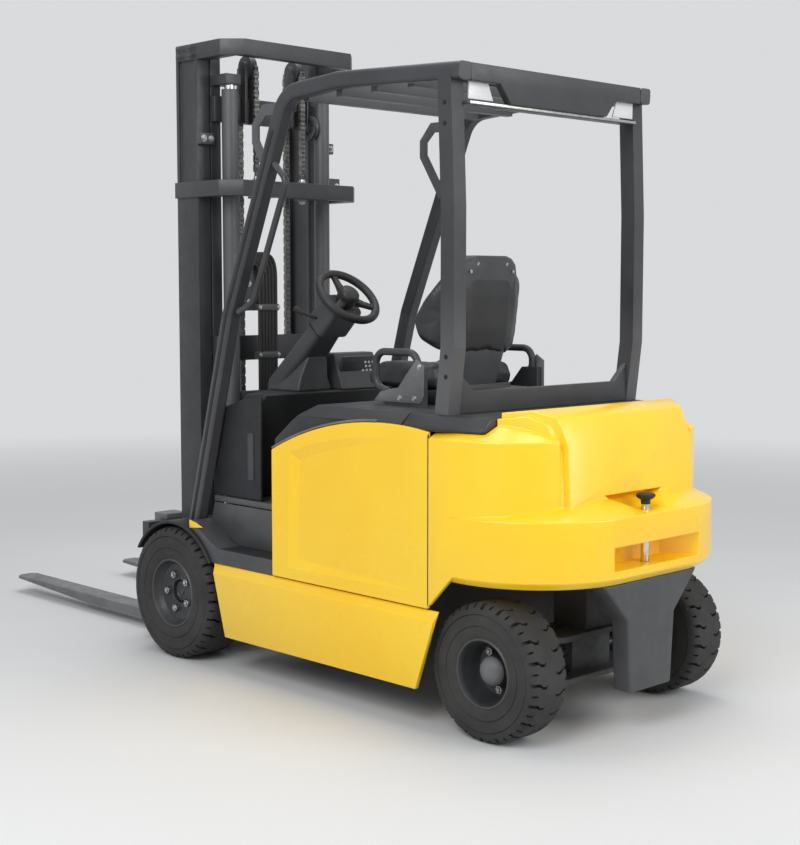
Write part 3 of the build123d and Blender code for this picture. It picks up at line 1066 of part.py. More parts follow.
# Counterweight: bumper with a sloped shelf, rounded shoulders, and a raised panel set in a groove
with BuildPart() as counterweight:
    with BuildSketch(Plane.XY.offset(CW_BOTTOM_Z)) as bumper:
        with Locations(((SEAM_X + REAR_END_X) / 2, 0)):
            Rectangle(SEAM_X - REAR_END_X, 2 * BODY_HALF_WIDTH)
        fillet(bumper.vertices().group_by(Axis.X)[0], BUMPER_CORNER)
    extrude(amount=BUMPER_TOP_Z - CW_BOTTOM_Z)
    chamfer(counterweight.edges().group_by(Axis.Z)[0].sort_by(Axis.X)[:-1], BUMPER_BEVEL)
    with BuildSketch(Plane.XY.offset(BUMPER_TOP_Z)):
        add(bumper.sketch.moved(Location((0, 0, BUMPER_TOP_Z - CW_BOTTOM_Z))))
    extrude(amount=CW_SHELF_Z - BUMPER_TOP_Z, taper=SHELF_TAPER)
    with BuildPart(mode=Mode.PRIVATE) as shoulders:
        with BuildSketch(Plane.XY.offset(BUMPER_TOP_Z)) as upper:
            with Locations(((SEAM_X + SHOULDER_REAR_X) / 2, 0)):
                Rectangle(SEAM_X - SHOULDER_REAR_X, 2 * BODY_HALF_WIDTH)
            fillet(upper.vertices().group_by(Axis.X)[0], SHOULDER_CORNER)
        extrude(amount=SHOULDER_TOP_Z - BUMPER_TOP_Z)
        rim_edges = shoulders.edges().group_by(Axis.Z)[-1].sort_by(Axis.X)[:-1]
        chamfer(rim_edges, SHOULDER_DROP, SHOULDER_SLOPE)
        with BuildSketch(Plane.XZ):
            with Locations(((SEAM_X + HUMP_FRONT_X) / 2, SHOULDER_TOP_Z)):
                Rectangle(SEAM_X - HUMP_FRONT_X, 2 * (SHOULDER_TOP_Z - PANEL_REAR_TOP_Z))
        extrude(amount=OVERALL_HALF_WIDTH, both=True, mode=Mode.SUBTRACT)
    add(shoulders.part)
    for groove, sink in ((GROOVE_WIDTH, GROOVE_DEPTH), (0, 0)):
        with BuildPart(mode=Mode.PRIVATE) as hump:
            with BuildSketch(Plane.XY.offset(CW_BOTTOM_Z)):
                with BuildLine():
                    Polyline(
                        (HUMP_FRONT_X, HUMP_FRONT_HALF_WIDTH + groove),
                        (HUMP_BEND_X, HUMP_REAR_HALF_WIDTH + groove),
                        (REAR_END_X, HUMP_REAR_HALF_WIDTH + groove),
                        (REAR_END_X, -HUMP_REAR_HALF_WIDTH - groove),
                        (HUMP_BEND_X, -HUMP_REAR_HALF_WIDTH - groove),
                        (HUMP_FRONT_X, -HUMP_FRONT_HALF_WIDTH - groove),
                        close=True,
                    )
                make_face()
            extrude(amount=HUMP_TOP_Z - CW_BOTTOM_Z)
        if groove:
            with BuildSketch(Plane.XY.offset(CW_SHELF_Z)):
                add(hump.faces().sort_by(Axis.Z)[0].moved(Location((0, 0, CW_SHELF_Z - CW_BOTTOM_Z))))
            extrude(amount=HUMP_TOP_Z - CW_SHELF_Z, mode=Mode.SUBTRACT)
        with BuildPart(mode=Mode.PRIVATE) as panel_block:
            with BuildSketch(Plane.XZ):
                with BuildLine():
                    Polyline(
                        (HUMP_FRONT_X, HUMP_FRONT_Z - sink),
                        (HUMP_CREST_X, HUMP_TOP_Z - sink),
                        (HUMP_EDGE_X + sink, HUMP_EDGE_Z - sink),
                        (HUMP_FACE_X + sink, HUMP_FACE_Z - sink),
                        (HUMP_REAR_X + sink, CW_SHELF_Z - BUMPER_BEVEL),
                        (HUMP_FRONT_X, CW_SHELF_Z - BUMPER_BEVEL),
                        close=True,
                    )
                make_face()
            extrude(amount=BODY_HALF_WIDTH, both=True)
            add(hump.part, mode=Mode.INTERSECT)
        add(panel_block.part)
    for hand, side in SIDES:
        with BuildSketch(side_plane(side * SKIRT_INNER_Y)):
            with BuildLine():
                Polyline(
                    (SEAM_X, PANEL_BOTTOM_Z),
                    (SEAM_X - SEAM_GAP, PANEL_BOTTOM_Z),
                    (SEAM_X - CW_BOTTOM_Z + PANEL_BOTTOM_Z - BUMPER_BEVEL, CW_BOTTOM_Z + BUMPER_BEVEL),
                    (SEAM_X, CW_BOTTOM_Z + BUMPER_BEVEL),
                    close=True,
                )
            make_face()
        extrude(amount=-side * PANEL_THICKNESS)
    with BuildSketch(Plane.XY.offset(TOW_SLOT_BOTTOM_Z)):
        with BuildLine():
            Polyline(
                (REAR_END_X, TOW_SLOT_HALF_WIDTH),
                (REAR_END_X + TOW_SLOT_DEPTH, TOW_SLOT_INNER_HALF_WIDTH),
                (REAR_END_X + TOW_SLOT_DEPTH, -TOW_SLOT_INNER_HALF_WIDTH),
                (REAR_END_X, -TOW_SLOT_HALF_WIDTH),
                close=True,
            )
        make_face()
    extrude(amount=TOW_SLOT_HEIGHT, mode=Mode.SUBTRACT)
    with BuildSketch(Plane.XY.offset(TOW_RECESS_Z)):
        with Locations((TOW_PIN_X - TOW_RECESS_DEPTH / 2, 0)):
            Rectangle(TOW_RECESS_DEPTH + 2 * TOW_KNOB_RADIUS, 2 * TOW_RECESS_HALF_WIDTH)
    extrude(amount=TOW_PIN_TOP_Z - TOW_RECESS_Z, taper=-TOW_RECESS_FLARE, mode=Mode.SUBTRACT)
    with BuildSketch(Plane.XY.offset(CW_BOTTOM_Z)):
        with Locations((TOW_PIN_X, 0)):
            Circle(TOW_PIN_RADIUS + PIN_GAP)
    extrude(amount=TOW_RECESS_Z - CW_BOTTOM_Z, mode=Mode.SUBTRACT)
counterweight.part.label = "counterweight"
export_step(counterweight.part, "parts/counterweight.step")

# Apron: plate with hollow sides that clear the steered tyres, and a rib, under the counterweight
with BuildPart() as apron:
    with BuildSketch(Plane.YZ.offset(APRON_REAR_X)):
        with BuildLine():
            Polyline(
                (-APRON_TOP_HALF_WIDTH, CW_BOTTOM_Z),
                (-APRON_WAIST_HALF_WIDTH, APRON_WAIST_Z),
                (-APRON_BOTTOM_HALF_WIDTH, APRON_BOTTOM_Z),
                (APRON_BOTTOM_HALF_WIDTH, APRON_BOTTOM_Z),
                (APRON_WAIST_HALF_WIDTH, APRON_WAIST_Z),
                (APRON_TOP_HALF_WIDTH, CW_BOTTOM_Z),
                close=True,
            )
        make_face()
    extrude(amount=APRON_THICKNESS)
apron.part.label = "apron"
export_step(apron.part, "parts/apron.step")

# Tow pin with its knob
with BuildPart() as tow_pin:
    with BuildSketch(Plane.XY.offset(CW_BOTTOM_Z + SEAM_GAP)):
        with Locations((TOW_PIN_X, 0)):
            Circle(TOW_PIN_RADIUS)
    extrude(amount=TOW_PIN_TOP_Z - CW_BOTTOM_Z - SEAM_GAP)
    with BuildSketch(Plane.XY.offset(TOW_PIN_TOP_Z)):
        with Locations((TOW_PIN_X, 0)):
            Circle(TOW_KNOB_RADIUS)
    extrude(amount=-TOW_KNOB_HEIGHT)
tow_pin.part.label = "tow_pin"
export_step(tow_pin.part, "parts/tow_pin.step")

# Floor plate with a kick wall, a step, a sill and a nose over the fender on each hand
with BuildPart() as floor_plate:
    with BuildSketch(Plane.XY.offset(FLOOR_Z - FLOOR_THICKNESS)):
        with Locations(((COWL_FRONT_X - COWL_WALL + PANEL_FRONT_X) / 2, 0)):
            Rectangle(COWL_FRONT_X - COWL_WALL - PANEL_FRONT_X, 2 * STEP_INNER_Y)
    extrude(amount=FLOOR_THICKNESS)
    floor_middle_x = (FLOOR_FRONT_X + PANEL_FRONT_X) / 2
    floor_length = FLOOR_FRONT_X - PANEL_FRONT_X
    for hand, side in SIDES:
        with BuildSketch(Plane.XY.offset(STEP_Z)):
            with Locations((floor_middle_x, side * (STEP_INNER_Y - FRAME_PLATE / 2))):
                Rectangle(floor_length, FRAME_PLATE)
        extrude(amount=FLOOR_Z - FLOOR_THICKNESS - STEP_Z)
        with BuildSketch(Plane.XY.offset(STEP_Z)):
            with Locations((floor_middle_x, side * (STEP_INNER_Y - FRAME_PLATE + DECK_HALF_WIDTH) / 2)):
                Rectangle(floor_length, DECK_HALF_WIDTH - STEP_INNER_Y + FRAME_PLATE)
        extrude(amount=-FLOOR_THICKNESS)
        with BuildSketch(Plane.XY.offset(SKIRT_TOP_Z)):
            with Locations((floor_middle_x, side * (DECK_HALF_WIDTH - FRAME_PLATE))):
                Rectangle(floor_length, 2 * FRAME_PLATE)
        extrude(amount=STEP_Z - FLOOR_THICKNESS - SKIRT_TOP_Z)
        with BuildSketch(side_plane(side * (COWL_HALF_WIDTH + PIN_GAP))):
            with BuildLine():
                Polyline(
                    (FLOOR_FRONT_X, SKIRT_TOP_Z),
                    (FLOOR_FRONT_X, STEP_Z),
                    (NOSE_FOOT_X, NOSE_FOOT_Z),
                    (NOSE_MIDDLE_X, NOSE_MIDDLE_Z),
                    (NOSE_TIP_X, NOSE_TIP_Z),
                    (NOSE_TIP_X, SKIRT_TOP_Z),
                    close=True,
                )
            make_face()
            with Locations((FRONT_AXLE_X, FRONT_WHEEL_Z)):
                Circle(FENDER_RADIUS + FENDER_THICKNESS, mode=Mode.SUBTRACT)
        extrude(amount=-side * (DECK_HALF_WIDTH - COWL_HALF_WIDTH - PIN_GAP))
floor_plate.part.label = "floor_plate"
export_step(floor_plate.part, "parts/floor_plate.step")

# Seat box front: the wall between the floor and the hood
with BuildPart() as seat_box_front:
    with BuildSketch(Plane.XY.offset(SKIRT_TOP_Z)):
        with Locations((PANEL_FRONT_X - FRAME_PLATE / 2, 0)):
            Rectangle(FRAME_PLATE, 2 * SKIRT_INNER_Y)
    extrude(amount=PANEL_FRONT_TOP_Z - SEAM_GAP - SKIRT_TOP_Z)
seat_box_front.part.label = "seat_box_front"
export_step(seat_box_front.part, "parts/seat_box_front.step")

# Fenders: arcs over the front tyres, carried by the frame's wings
with BuildPart() as fenders:
    for hand, side in SIDES:
        with BuildSketch(side_plane(side * FRAME_PLATE_Y)):
            with Locations((FRONT_AXLE_X, FRONT_WHEEL_Z)):
                Circle(FENDER_RADIUS + FENDER_THICKNESS)
                Circle(FENDER_RADIUS, mode=Mode.SUBTRACT)
            with Locations((FRONT_AXLE_X, SKIRT_TOP_Z - 2 * FENDER_RADIUS)):
                Rectangle(4 * FENDER_RADIUS, 4 * FENDER_RADIUS, mode=Mode.SUBTRACT)
        extrude(amount=-side * (BODY_HALF_WIDTH - FRAME_PLATE_Y))
fenders.part.label = "fenders"
export_step(fenders.part, "parts/fenders.step")

# Cowl: closed housing between the legs of the guard, with the dash on top
with BuildPart() as cowl:
    with BuildSketch(Plane.XZ):
        with BuildLine():
            Polyline(
                (FLOOR_FRONT_X, FLOOR_Z),
                (COWL_FRONT_X - COWL_WALL, FLOOR_Z),
                (COWL_FRONT_X - COWL_WALL, COWL_FOOT_Z),
                (COWL_FRONT_X, COWL_FOOT_Z),
                (COWL_BROW_X, COWL_BROW_Z),
                (DASH_FRONT_X, COWL_TOP_Z),
                (DASH_REAR_X, COWL_TOP_Z),
                (DASH_FOOT_X, DASH_FOOT_Z),
                close=True,
            )
        make_face()
    extrude(amount=COWL_HALF_WIDTH, both=True)
    with BuildSketch(Plane.XZ):
        with BuildLine():
            Polyline(
                (COWL_BROW_X, BULGE_FOOT_Z),
                (BULGE_FRONT_X, COWL_BROW_Z),
                (BULGE_TOP_X, COWL_TOP_Z),
                (DASH_REAR_X, COWL_TOP_Z),
                close=True,
            )
        make_face()
    extrude(amount=BULGE_HALF_WIDTH, both=True)
    for hand, side in SIDES:
        with BuildSketch(Plane.YZ.offset(FLOOR_FRONT_X)):
            with BuildLine():
                Polyline(
                    (side * COWL_HALF_WIDTH, COWL_WING_Z),
                    (side * COWL_CROWN_HALF_WIDTH, COWL_TOP_Z),
                    (side * COWL_HALF_WIDTH, COWL_TOP_Z),
                    close=True,
                )
            make_face()
        extrude(amount=FLOOR_FRONT_X - DASH_REAR_X, both=True, mode=Mode.SUBTRACT)
cowl.part.label = "cowl"
export_step(cowl.part, "parts/cowl.step")

# Steering column and hand wheel
STEERING_LEAN = (-sin(radians(STEERING_RAKE)), 0, cos(radians(STEERING_RAKE)))
steering_axis = Plane(origin=(STEERING_X, STEERING_Y, STEERING_Z), x_dir=(0, 1, 0), z_dir=STEERING_LEAN)
with BuildPart() as steering_column:
    with BuildSketch(steering_axis.offset(-COLUMN_LENGTH)):
        RectangleRounded(COLUMN_FOOT_WIDTH, COLUMN_FOOT_DEPTH, COLUMN_RADIUS)
    with BuildSketch(steering_axis.offset(-COLUMN_HEAD_LENGTH)):
        RectangleRounded(COLUMN_NECK_WIDTH, COLUMN_NECK_DEPTH, COLUMN_RADIUS)
    loft()
    with BuildSketch(steering_axis.offset(-COLUMN_HEAD_LENGTH)):
        RectangleRounded(COLUMN_HEAD_WIDTH, COLUMN_HEAD_DEPTH, COLUMN_RADIUS)
    extrude(amount=COLUMN_HEAD_LENGTH - STEERING_HUB_RADIUS)
    with BuildSketch(Plane.YZ.offset(BULGE_FRONT_X)):
        with Locations((STEERING_Y, COWL_TOP_Z)):
            Rectangle(2 * COLUMN_FOOT_WIDTH, COLUMN_LENGTH)
    extrude(amount=COLUMN_LENGTH, mode=Mode.SUBTRACT)
    add(cowl.part, mode=Mode.SUBTRACT)
steering_column.part.label = "steering_column"
export_step(steering_column.part, "parts/steering_column.step")

with BuildPart() as steering_wheel:
    with BuildSketch(steering_axis.offset(PIN_GAP - STEERING_HUB_RADIUS)):
        Circle(STEERING_HUB_RADIUS)
    extrude(amount=STEERING_HUB_RADIUS)
    with BuildSketch(Plane(origin=steering_axis.origin, x_dir=(0, 1, 0), z_dir=steering_axis.y_dir)):
        with Locations((STEERING_RADIUS, 0)):
            Circle(STEERING_GRIP_RADIUS)
    revolve(axis=Axis(steering_axis.origin, steering_axis.z_dir))
    with BuildSketch(steering_axis.offset(-STEERING_GRIP_RADIUS / 2)):
        Rectangle(2 * STEERING_RADIUS, 2 * STEERING_GRIP_RADIUS)
        with Locations((0, -STEERING_RADIUS / 2)):
            Rectangle(2 * STEERING_GRIP_RADIUS, STEERING_RADIUS)
    extrude(amount=STEERING_GRIP_RADIUS)
steering_wheel.part.label = "steering_wheel"
export_step(steering_wheel.part, "parts/steering_wheel.step")

# Display console on the dash, right of the column
with BuildPart() as side_console:
    with BuildSketch(side_plane(-CONSOLE_INNER_Y)):
        with BuildLine():
            Polyline(
                (DASH_FRONT_X, COWL_TOP_Z),
                (DASH_FRONT_X, COWL_TOP_Z + CONSOLE_HEIGHT),
                (DASH_FRONT_X - CONSOLE_TOP_DEPTH, COWL_TOP_Z + CONSOLE_HEIGHT),
                (DASH_REAR_X, COWL_TOP_Z),
                close=True,
            )
        make_face()
    extrude(amount=CONSOLE_OUTER_Y - CONSOLE_INNER_Y)
side_console.part.label = "side_console"
export_step(side_console.part, "parts/side_console.step")

# Battery hood: the lid that carries the seat, with its halves of the rear hinges
with BuildPart() as battery_hood:
    with BuildSketch(Plane.XZ):
        with BuildLine():
            Polyline(
                (HOOD_REAR_X, PANEL_REAR_TOP_Z + SEAM_GAP),
                (HOOD_REAR_X, DECK_Z),
                (HOOD_CREST_X, DECK_Z),
                (HOOD_BROW_X, HOOD_BROW_Z),
                (HOOD_FRONT_X, PANEL_FRONT_TOP_Z + HOOD_LIP),
                (HOOD_FRONT_X, PANEL_FRONT_TOP_Z + SEAM_GAP),
            )
            ThreePointArc(
                (HOOD_FRONT_X, PANEL_FRONT_TOP_Z + SEAM_GAP),
                (PANEL_ARC_X, PANEL_ARC_Z + SEAM_GAP),
                (HOOD_REAR_X, PANEL_REAR_TOP_Z + SEAM_GAP),
            )
        make_face()
    extrude(amount=DECK_HALF_WIDTH, both=True)
    for hand, side in SIDES:
        with BuildSketch(Plane.YZ.offset(HOOD_REAR_X)):
            with BuildLine():
                Polyline(
                    (side * DECK_HALF_WIDTH, DECK_Z - HOOD_EDGE_DROP),
                    (side * (DECK_HALF_WIDTH - HOOD_EDGE_SLOPE), DECK_Z),
                    (side * DECK_HALF_WIDTH, DECK_Z),
                    close=True,
                )
            make_face()
        extrude(amount=HOOD_FRONT_X - HOOD_REAR_X, mode=Mode.SUBTRACT)
    for hand, side in SIDES:
        with BuildSketch(side_plane(side * HINGE_Y)):
            with Locations((COVER_SEAM_X, DECK_Z)):
                Circle(HINGE_RADIUS + PIN_GAP)
        extrude(amount=side * (HINGE_LENGTH + PIN_GAP), mode=Mode.SUBTRACT)
        with BuildSketch(side_plane(side * (HINGE_Y + PIN_GAP))):
            with Locations((COVER_SEAM_X, DECK_Z)):
                Circle(HINGE_RADIUS)
                Circle(HINGE_PIN_RADIUS + PIN_GAP, mode=Mode.SUBTRACT)
        extrude(amount=-side * HINGE_LENGTH)
        with BuildSketch(side_plane(side * HINGE_Y)):
            with Locations((COVER_SEAM_X, DECK_Z)):
                Circle(HINGE_PIN_RADIUS + PIN_GAP)
        extrude(amount=-side * (HINGE_LENGTH + MOVE_GAP), mode=Mode.SUBTRACT)
battery_hood.part.label = "battery_hood"
export_step(battery_hood.part, "parts/battery_hood.step")

# Rear cover under the guard's rear pillars, with the hinge pins
with BuildPart() as rear_cover:
    with BuildSketch(Plane.XY.offset(PANEL_REAR_TOP_Z)):
        with BuildLine():
            Polyline(
                (COVER_SEAM_X, DECK_HALF_WIDTH),
                (SEAM_X, DECK_HALF_WIDTH),
                (COVER_REAR_X, COVER_REAR_HALF_WIDTH),
                (COVER_REAR_X, -COVER_REAR_HALF_WIDTH),
                (SEAM_X, -DECK_HALF_WIDTH),
                (COVER_SEAM_X, -DECK_HALF_WIDTH),
                close=True,
            )
        make_face()
    extrude(amount=DECK_Z - PANEL_REAR_TOP_Z)
    top_edges = rear_cover.edges().group_by(Axis.Z)[-1]
    chamfer(top_edges.filter_by(Axis.Y, reverse=True), HOOD_EDGE_DROP)
    for hand, side in SIDES:
        with BuildSketch(side_plane(side * HINGE_Y)):
            with Locations((COVER_SEAM_X, DECK_Z)):
                Circle(HINGE_RADIUS + PIN_GAP)
        extrude(amount=-side * (HINGE_LENGTH + MOVE_GAP), mode=Mode.SUBTRACT)
        with BuildSketch(side_plane(side * HINGE_Y)):
            with Locations((COVER_SEAM_X, DECK_Z)):
                Circle(HINGE_RADIUS)
        extrude(amount=side * HINGE_LENGTH)
        with BuildSketch(side_plane(side * HINGE_Y)):
            with Locations((COVER_SEAM_X, DECK_Z)):
                Circle(HINGE_PIN_RADIUS)
        extrude(amount=-side * HINGE_LENGTH)
rear_cover.part.label = "rear_cover"
export_step(rear_cover.part, "parts/rear_cover.step")

# Seat: suspension box and hard back shell, cushion and backrest
with BuildPart() as seat_shell:
    with BuildSketch(Plane.XY.offset(DECK_Z)):
        front = SEAT_FRONT_X - SEAT_BASE_SET_BACK
        with Locations(((front + SEAT_BACK_X) / 2, 0)):
            Rectangle(front - SEAT_BACK_X - SEAT_SHELL, 2 * (SEAT_HALF_WIDTH - SEAT_SHELL))
    extrude(amount=SEAT_CUSHION_Z - DECK_Z)
    with BuildSketch(Plane.XZ):
        with BuildLine():
            Polyline(
                (SEAT_BACK_X + SEAT_RAKE + SEAT_SHELL, SEAT_CUSHION_Z - SEAT_SHELL),
                (SEAT_BACK_X + SEAT_RAKE, SEAT_CUSHION_Z - SEAT_SHELL),
                (SEAT_BACK_X, SEAT_TOP_Z),
                (SEAT_BACK_X + SEAT_SHELL, SEAT_TOP_Z),
                close=True,
            )
        make_face()
    extrude(amount=SHELL_HALF_WIDTH, both=True)
seat_shell.part.label = "seat_shell"
export_step(seat_shell.part, "parts/seat_shell.step")

with BuildPart() as seat_cushion:
    with BuildSketch(Plane.XY.offset(SEAT_CUSHION_Z + SEAT_GAP)):
        front = SEAT_FRONT_X
        rear = SEAT_BACK_X + SEAT_RAKE + SEAT_SHELL + SEAT_GAP
        with Locations(((front + rear) / 2, 0)):
            Rectangle(front - rear, 2 * SEAT_HALF_WIDTH)
    extrude(amount=SEAT_CUSHION_HEIGHT)
seat_cushion.part.label = "seat_cushion"
export_step(seat_cushion.part, "parts/seat_cushion.step")

with BuildPart() as seat_back:
    seat_z = SEAT_CUSHION_Z + SEAT_CUSHION_HEIGHT + 2 * SEAT_GAP
    shell_height = SEAT_TOP_Z - SEAT_CUSHION_Z + SEAT_SHELL
    lean = SEAT_RAKE * (seat_z - SEAT_CUSHION_Z + SEAT_SHELL) / shell_height
    foot = SEAT_BACK_X + SEAT_RAKE - lean + SEAT_SHELL + SEAT_GAP
    head = SEAT_BACK_X + SEAT_SHELL + SEAT_GAP
    with BuildSketch(Plane.XZ):
        with BuildLine():
            Polyline(
                (foot, seat_z),
                (foot + SEAT_BACK_DEPTH, seat_z),
                (BOLSTER_LOW_X, BOLSTER_LOW_Z),
                (BOLSTER_FRONT_X, BOLSTER_FRONT_Z),
                (BOLSTER_HIGH_X, BOLSTER_HIGH_Z),
                (head + BOLSTER_TOP_DEPTH, SEAT_TOP_Z),
                (head, SEAT_TOP_Z),
                close=True,
            )
        make_face()
    extrude(amount=SEAT_HALF_WIDTH, both=True)
    with BuildSketch(Plane.XZ):
        with BuildLine():
            Polyline(
                (foot + SEAT_BACK_DEPTH, seat_z),
                (BOLSTER_FRONT_X, seat_z),
                (BOLSTER_FRONT_X, SEAT_TOP_Z),
                (head + SEAT_BACK_DEPTH, SEAT_TOP_Z),
                close=True,
            )
        make_face()
    extrude(amount=BOLSTER_INNER_Y, both=True, mode=Mode.SUBTRACT)
seat_back.part.label = "seat_back"
export_step(seat_back.part, "parts/seat_back.step")

# Hip restraints: a plate and a bent tube on each side of the seat
with BuildPart() as hip_restraints:
    for hand, side in SIDES:
        with BuildSketch(side_plane(side * RESTRAINT_Y)):
            with BuildLine():
                Polyline(
                    (RESTRAINT_REAR_X, DECK_Z),
                    (RESTRAINT_REAR_X, RESTRAINT_PLATE_Z),
                    (RESTRAINT_REAR_X + RESTRAINT_PLATE_TOP, RESTRAINT_PLATE_Z),
                    (RESTRAINT_REAR_X + RESTRAINT_PLATE_FOOT, DECK_Z),
                    close=True,
                )
            make_face()
        extrude(amount=RESTRAINT_RADIUS, both=True)
        with BuildLine(side_plane(side * RESTRAINT_Y)) as loop:
            FilletPolyline(
                (RESTRAINT_LOOP_X, RESTRAINT_PLATE_Z - RESTRAINT_RADIUS),
                (RESTRAINT_LOOP_X, RESTRAINT_TOP_Z),
                (RESTRAINT_FRONT_X, RESTRAINT_TOP_Z),
                (RESTRAINT_FRONT_X, RESTRAINT_LOW_Z),
                (RESTRAINT_RETURN_X, RESTRAINT_RETURN_Z),
                radius=RESTRAINT_BEND,
            )
        with BuildSketch(Plane(origin=loop.line @ 0, z_dir=loop.line % 0)):
            Circle(RESTRAINT_RADIUS)
        sweep(path=loop.line)
hip_restraints.part.label = "hip_restraints"
export_step(hip_restraints.part, "parts/hip_restraints.step")

# Overhead guard: bent side frames with rear pillars, header, slats and the rear beam
guard_frames = {}
for hand, side in SIDES:
    with BuildPart() as guard_frame:
        with BuildLine(side_plane(side * GUARD_MIDDLE_Y)) as leg:
            FilletPolyline(
                (LEG_FOOT_X, FRONT_WHEEL_Z + FENDER_RADIUS),
                (LEG_KNEE_X, LEG_KNEE_Z),
                (LEG_HEAD_X, LEG_HEAD_Z),
                (ROOF_CREST_X, ROOF_CREST_Z),
                (GUARD_REAR_X, GUARD_TOP_Z - GUARD_TUBE / 2),
                radius=GUARD_BEND,
            )
        with BuildSketch(Plane(origin=leg.line @ 0, x_dir=(0, 1, 0), z_dir=leg.line % 0)):
            RectangleRounded(GUARD_TUBE, GUARD_TUBE, GUARD_CORNER)
        sweep(path=leg.line)
        with BuildSketch(side_plane(side * GUARD_MIDDLE_Y)):
            with Locations((FRONT_AXLE_X, FRONT_WHEEL_Z)):
                Circle(FENDER_RADIUS + FENDER_THICKNESS)
        extrude(amount=GUARD_TUBE, both=True, mode=Mode.SUBTRACT)
        with BuildSketch(side_plane(side * GUARD_MIDDLE_Y)):
            with BuildLine():
                Polyline(
                    (PILLAR_REAR_X + PILLAR_KICK, DECK_Z),
                    (PILLAR_REAR_X - PILLAR_BOW, PILLAR_KNEE_Z),
                    (PILLAR_REAR_X - PILLAR_BOW, PILLAR_WAIST_Z),
                    (PILLAR_REAR_X, GUARD_TOP_Z - GUARD_TUBE / 2),
                    (PILLAR_REAR_X + PILLAR_DEPTH, GUARD_TOP_Z - GUARD_TUBE / 2),
                    (PILLAR_REAR_X - PILLAR_BOW + PILLAR_DEPTH, PILLAR_WAIST_Z),
                    (PILLAR_REAR_X - PILLAR_BOW + PILLAR_DEPTH, PILLAR_KNEE_Z),
                    (PILLAR_REAR_X + PILLAR_KICK + PILLAR_DEPTH, DECK_Z),
                    close=True,
                )
            make_face()
        extrude(amount=GUARD_TUBE / 2, both=True)
    guard_frame.part.label = f"{hand}_guard_frame"
    export_step(guard_frame.part, f"parts/{hand}_guard_frame.step")
    guard_frames[hand] = guard_frame.part

with BuildPart() as guard_header:
    with BuildSketch(Plane.YZ.offset(GUARD_REAR_X)):
        with Locations((0, GUARD_TOP_Z - GUARD_TUBE / 2)):
            Rectangle(2 * GUARD_INNER_Y, GUARD_TUBE)
        with BuildLine():
            Polyline(
                (-VISOR_TOP_HALF_WIDTH, GUARD_TOP_Z - GUARD_TUBE),
                (-VISOR_FOOT_HALF_WIDTH, VISOR_FOOT_Z),
                (VISOR_FOOT_HALF_WIDTH, VISOR_FOOT_Z),
                (VISOR_TOP_HALF_WIDTH, GUARD_TOP_Z - GUARD_TUBE),
                close=True,
            )
        make_face()
    extrude(amount=HEADER_DEPTH)
    bar_rear = GUARD_REAR_X + HEADER_DEPTH / 2
    bar_front = PILLAR_REAR_X + PILLAR_DEPTH / 2
    with BuildSketch(Plane.XY.offset(VISOR_FOOT_Z)):
        with Locations(((bar_rear + bar_front) / 2, 0)):
            Rectangle(bar_front - bar_rear, 2 * GUARD_INNER_Y)
    extrude(amount=-VISOR_BAR)
guard_header.part.label = "guard_header"
export_step(guard_header.part, "parts/guard_header.step")

with BuildPart() as guard_slats:
    pitch = (SLAT_FRONT_X - SLAT_REAR_X) / (SLAT_COUNT - 1)
    for i in range(SLAT_COUNT):
        with BuildSketch(side_plane(0)):
            with Locations((SLAT_REAR_X + i * pitch, GUARD_TOP_Z - GUARD_TUBE / 2)):
                Rectangle(SLAT_DEPTH, SLAT_HEIGHT)
        extrude(amount=GUARD_INNER_Y, both=True)
guard_slats.part.label = "guard_slats"
export_step(guard_slats.part, "parts/guard_slats.step")

with BuildPart() as guard_beam:
    with BuildSketch(Plane.YZ.offset(PILLAR_REAR_X + PILLAR_KICK)):
        with BuildLine():
            Polyline(
                (-GUARD_INNER_Y, DECK_Z),
                (GUARD_INNER_Y, DECK_Z),
                (GUARD_INNER_Y, DECK_Z + BEAM_HEIGHT + GUSSET_HEIGHT),
                (GUARD_INNER_Y - GUSSET_WIDTH, DECK_Z + BEAM_HEIGHT),
                (GUSSET_WIDTH - GUARD_INNER_Y, DECK_Z + BEAM_HEIGHT),
                (-GUARD_INNER_Y, DECK_Z + BEAM_HEIGHT + GUSSET_HEIGHT),
                close=True,
            )
        make_face()
    extrude(amount=BEAM_DEPTH)
guard_beam.part.label = "guard_beam"
export_step(guard_beam.part, "parts/guard_beam.step")

# Lamp brackets on the inner faces of the guard, at the front of the roof
with BuildPart() as lamp_brackets:
    for hand, side in SIDES:
        with BuildSketch(side_plane(side * GUARD_INNER_Y)):
            with BuildLine():
                Polyline(
                    (LAMP_ROOT_X, LAMP_TOP_Z),
                    (LAMP_BROW_X, LAMP_TOP_Z),
                    (LAMP_TIP_X, LAMP_TIP_Z),
                    (LAMP_TIP_X, LAMP_CHIN_Z),
                    (LAMP_FOOT_X, LAMP_FOOT_Z),
                    (LAMP_FOOT_X - LAMP_BAND / 2, LAMP_FOOT_Z + LAMP_BAND),
                    (LAMP_TIP_X - LAMP_BAND, LAMP_CHIN_Z + LAMP_BAND / 4),
                    (LAMP_TIP_X - LAMP_BAND, LAMP_TIP_Z - LAMP_BAND / 4),
                    (LAMP_BROW_X - LAMP_BAND / 2, LAMP_TOP_Z - LAMP_BAND),
                    (LAMP_ROOT_X, LAMP_TOP_Z - LAMP_BAND),
                    close=True,
                )
            make_face()
        extrude(amount=side * LAMP_PLATE)
lamp_brackets.part.label = "lamp_brackets"
export_step(lamp_brackets.part, "parts/lamp_brackets.step")

